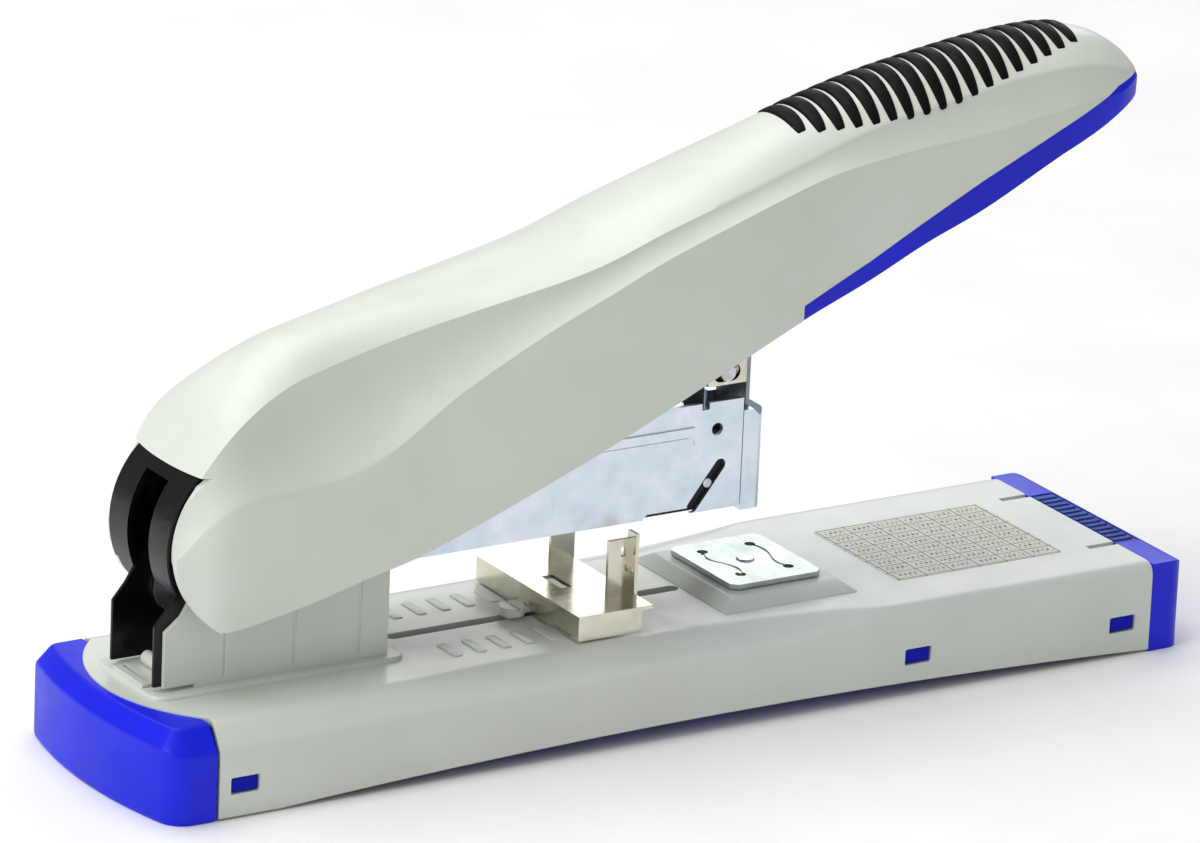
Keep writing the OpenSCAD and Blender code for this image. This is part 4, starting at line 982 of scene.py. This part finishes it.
# ---------------------------------------------------------------- the rest of the frame's nodes

finishes = {
    "off_white_paint": deck_enamel, "blue_plastic": blue_abs, "black_rubber": black_rubber,
    "zinc_steel": zinc_strip, "nickel_steel": nickel_strip,
    "bright_steel": pin_steel, "spring_steel": spring_steel, "staple_wire": staple_wire,
    "black_steel": black_steel, "black_plastic": black_acetal, "white_plastic": white_acetal,
    "off_white_plastic": off_white_abs}
slots = {part["node"]: part["material_slot"] for part in frame["record"]["subparts"]}
bodies = {node: body for body, nodes in frame["record"]["behaviour"]["bodies"].items()
          for node in nodes}
# rounding of each remaining piece's edges, in mm
edges = {
    "base_tray": 0.25, "paper_end_cap": 0.5, "rubber_feet": 0.3, "tray_screws": 0.12,
    "anvil_pad": 0.7, "hinge_bracket": 0.3, "inner_hinge_frame": 0.25, "bracket_rivets": 0.15,
    "arm_hinge_pin": 0.2, "handle_hinge_pin": 0.5, "bracket_tab": 0.2, "anvil_pivot": 0.12,
    "paper_stop_plate": 0.22, "paper_stop_lock": 0.35, "nose_plate": 0.35, "inner_channel": 0.2,
    "staple_rail": 0.2, "top_guard": 0.2, "rail_end_block": 0.3, "guide_rod": 0.2,
    "magazine_rivets": 0.12,
    "nose_slot_pin": 0.12, "staple_strip": 0.05, "staple_pusher": 0.25, "driver_blade": 0.12,
    "driver_carrier": 0.2, "carrier_rivets": 0.15, "lever_frame": 0.3, "drive_tongue": 0.25,
    "drive_pin": 0.25, "handle_bushings": 0.15, "handle_screws": 0.15}


def make_the_rest():
    for node, width in edges.items():
        piece = refined(node, width, 3 if width > 0.4 else 2)
        # the tray gets the darker copy of the blue moulding, which is painted shade
        finish = shaded_tray_abs if node == "base_tray" else finishes[slots[node]]
        mount(piece, bodies[node], slots[node], finish, node)


# ---------------------------------------------------------------- studio

def light(name, place, aim, size, power):
    lamp = bpy.data.lights.new(name, "AREA")
    lamp.shape = "RECTANGLE"
    lamp.size, lamp.size_y = size
    lamp.energy = power
    made = bpy.data.objects.new(name, lamp)
    bpy.context.scene.collection.objects.link(made)
    made.location = place
    made.rotation_euler = (Vector(aim) - Vector(place)).to_track_quat("-Z", "Y").to_euler()


def make_studio():
    put_down()
    bpy.ops.mesh.primitive_plane_add(size=14, location=(0, 0, 0))
    board = named("studio_board")
    board.data.materials.append(floor_paint())
    aim = (0.0, 0.0, 0.06)
    light("overhead_softbox", (-0.25, 0.35, 1.5), aim, (1.5, 1.3), 18)
    light("left_softbox", (-1.7, -0.25, 0.75), aim, (0.9, 1.1), 13)
    light("front_fill", (0.5, -1.8, 0.7), aim, (1.5, 1.0), 1.2)
    light("back_rim", (1.1, 1.3, 0.8), aim, (0.9, 0.7), 4)
    world = bpy.data.worlds.new("pale_room")
    bpy.context.scene.world = world
    world.use_nodes = True
    tree = world.node_tree
    tree.nodes.clear()
    ways = add(tree, "TexCoord").outputs["Generated"]
    height = add(tree, "SeparateXYZ", links={"Vector": ways}).outputs["Z"]
    glow = ramp(tree, add(tree, "MapRange", inputs={"From Min": -1.0, "From Max": 1.0},
                          links={"Value": height}).outputs["Result"],
                (0.0, 0.5), (0.5, 0.62), (0.62, 0.95), (1.0, 1.0))
    room = add(tree, "Background", inputs={"Strength": 0.36}, links={"Color": glow})
    add(tree, "OutputWorld", links={"Surface": room.outputs["Background"]})


def make_camera():
    """A long lens from the front left, a little above, held with a slight roll."""
    azimuth, elevation, roll = (math.radians(v) for v in (-32.31, 18.93, 2.48))
    back = Vector((math.sin(azimuth) * math.cos(elevation), -math.cos(azimuth) * math.cos(elevation),
                   math.sin(elevation)))
    level = Vector((math.cos(azimuth), math.sin(azimuth), 0))
    rise = back.cross(level)
    right = level * math.cos(roll) + rise * math.sin(roll)
    up = rise * math.cos(roll) - level * math.sin(roll)
    lens = bpy.data.cameras.new("long_lens")
    lens.lens = 254.6
    lens.sensor_width = 36
    lens.clip_end = 50
    made = bpy.data.objects.new("long_lens", lens)
    bpy.context.scene.collection.objects.link(made)
    turn = Matrix((right, up, back)).transposed().to_4x4()
    made.matrix_world = Matrix.Translation((-0.9962, -1.5655, 0.7019)) @ turn
    bpy.context.scene.camera = made


make_handle()
make_grip_ribs()
make_base()
make_bumper()
make_anvil()
make_label()
make_springs()
make_magazine()
make_cap_strip()
make_the_rest()
make_studio()
make_camera()
bpy.context.scene.view_settings.view_transform = "Standard"
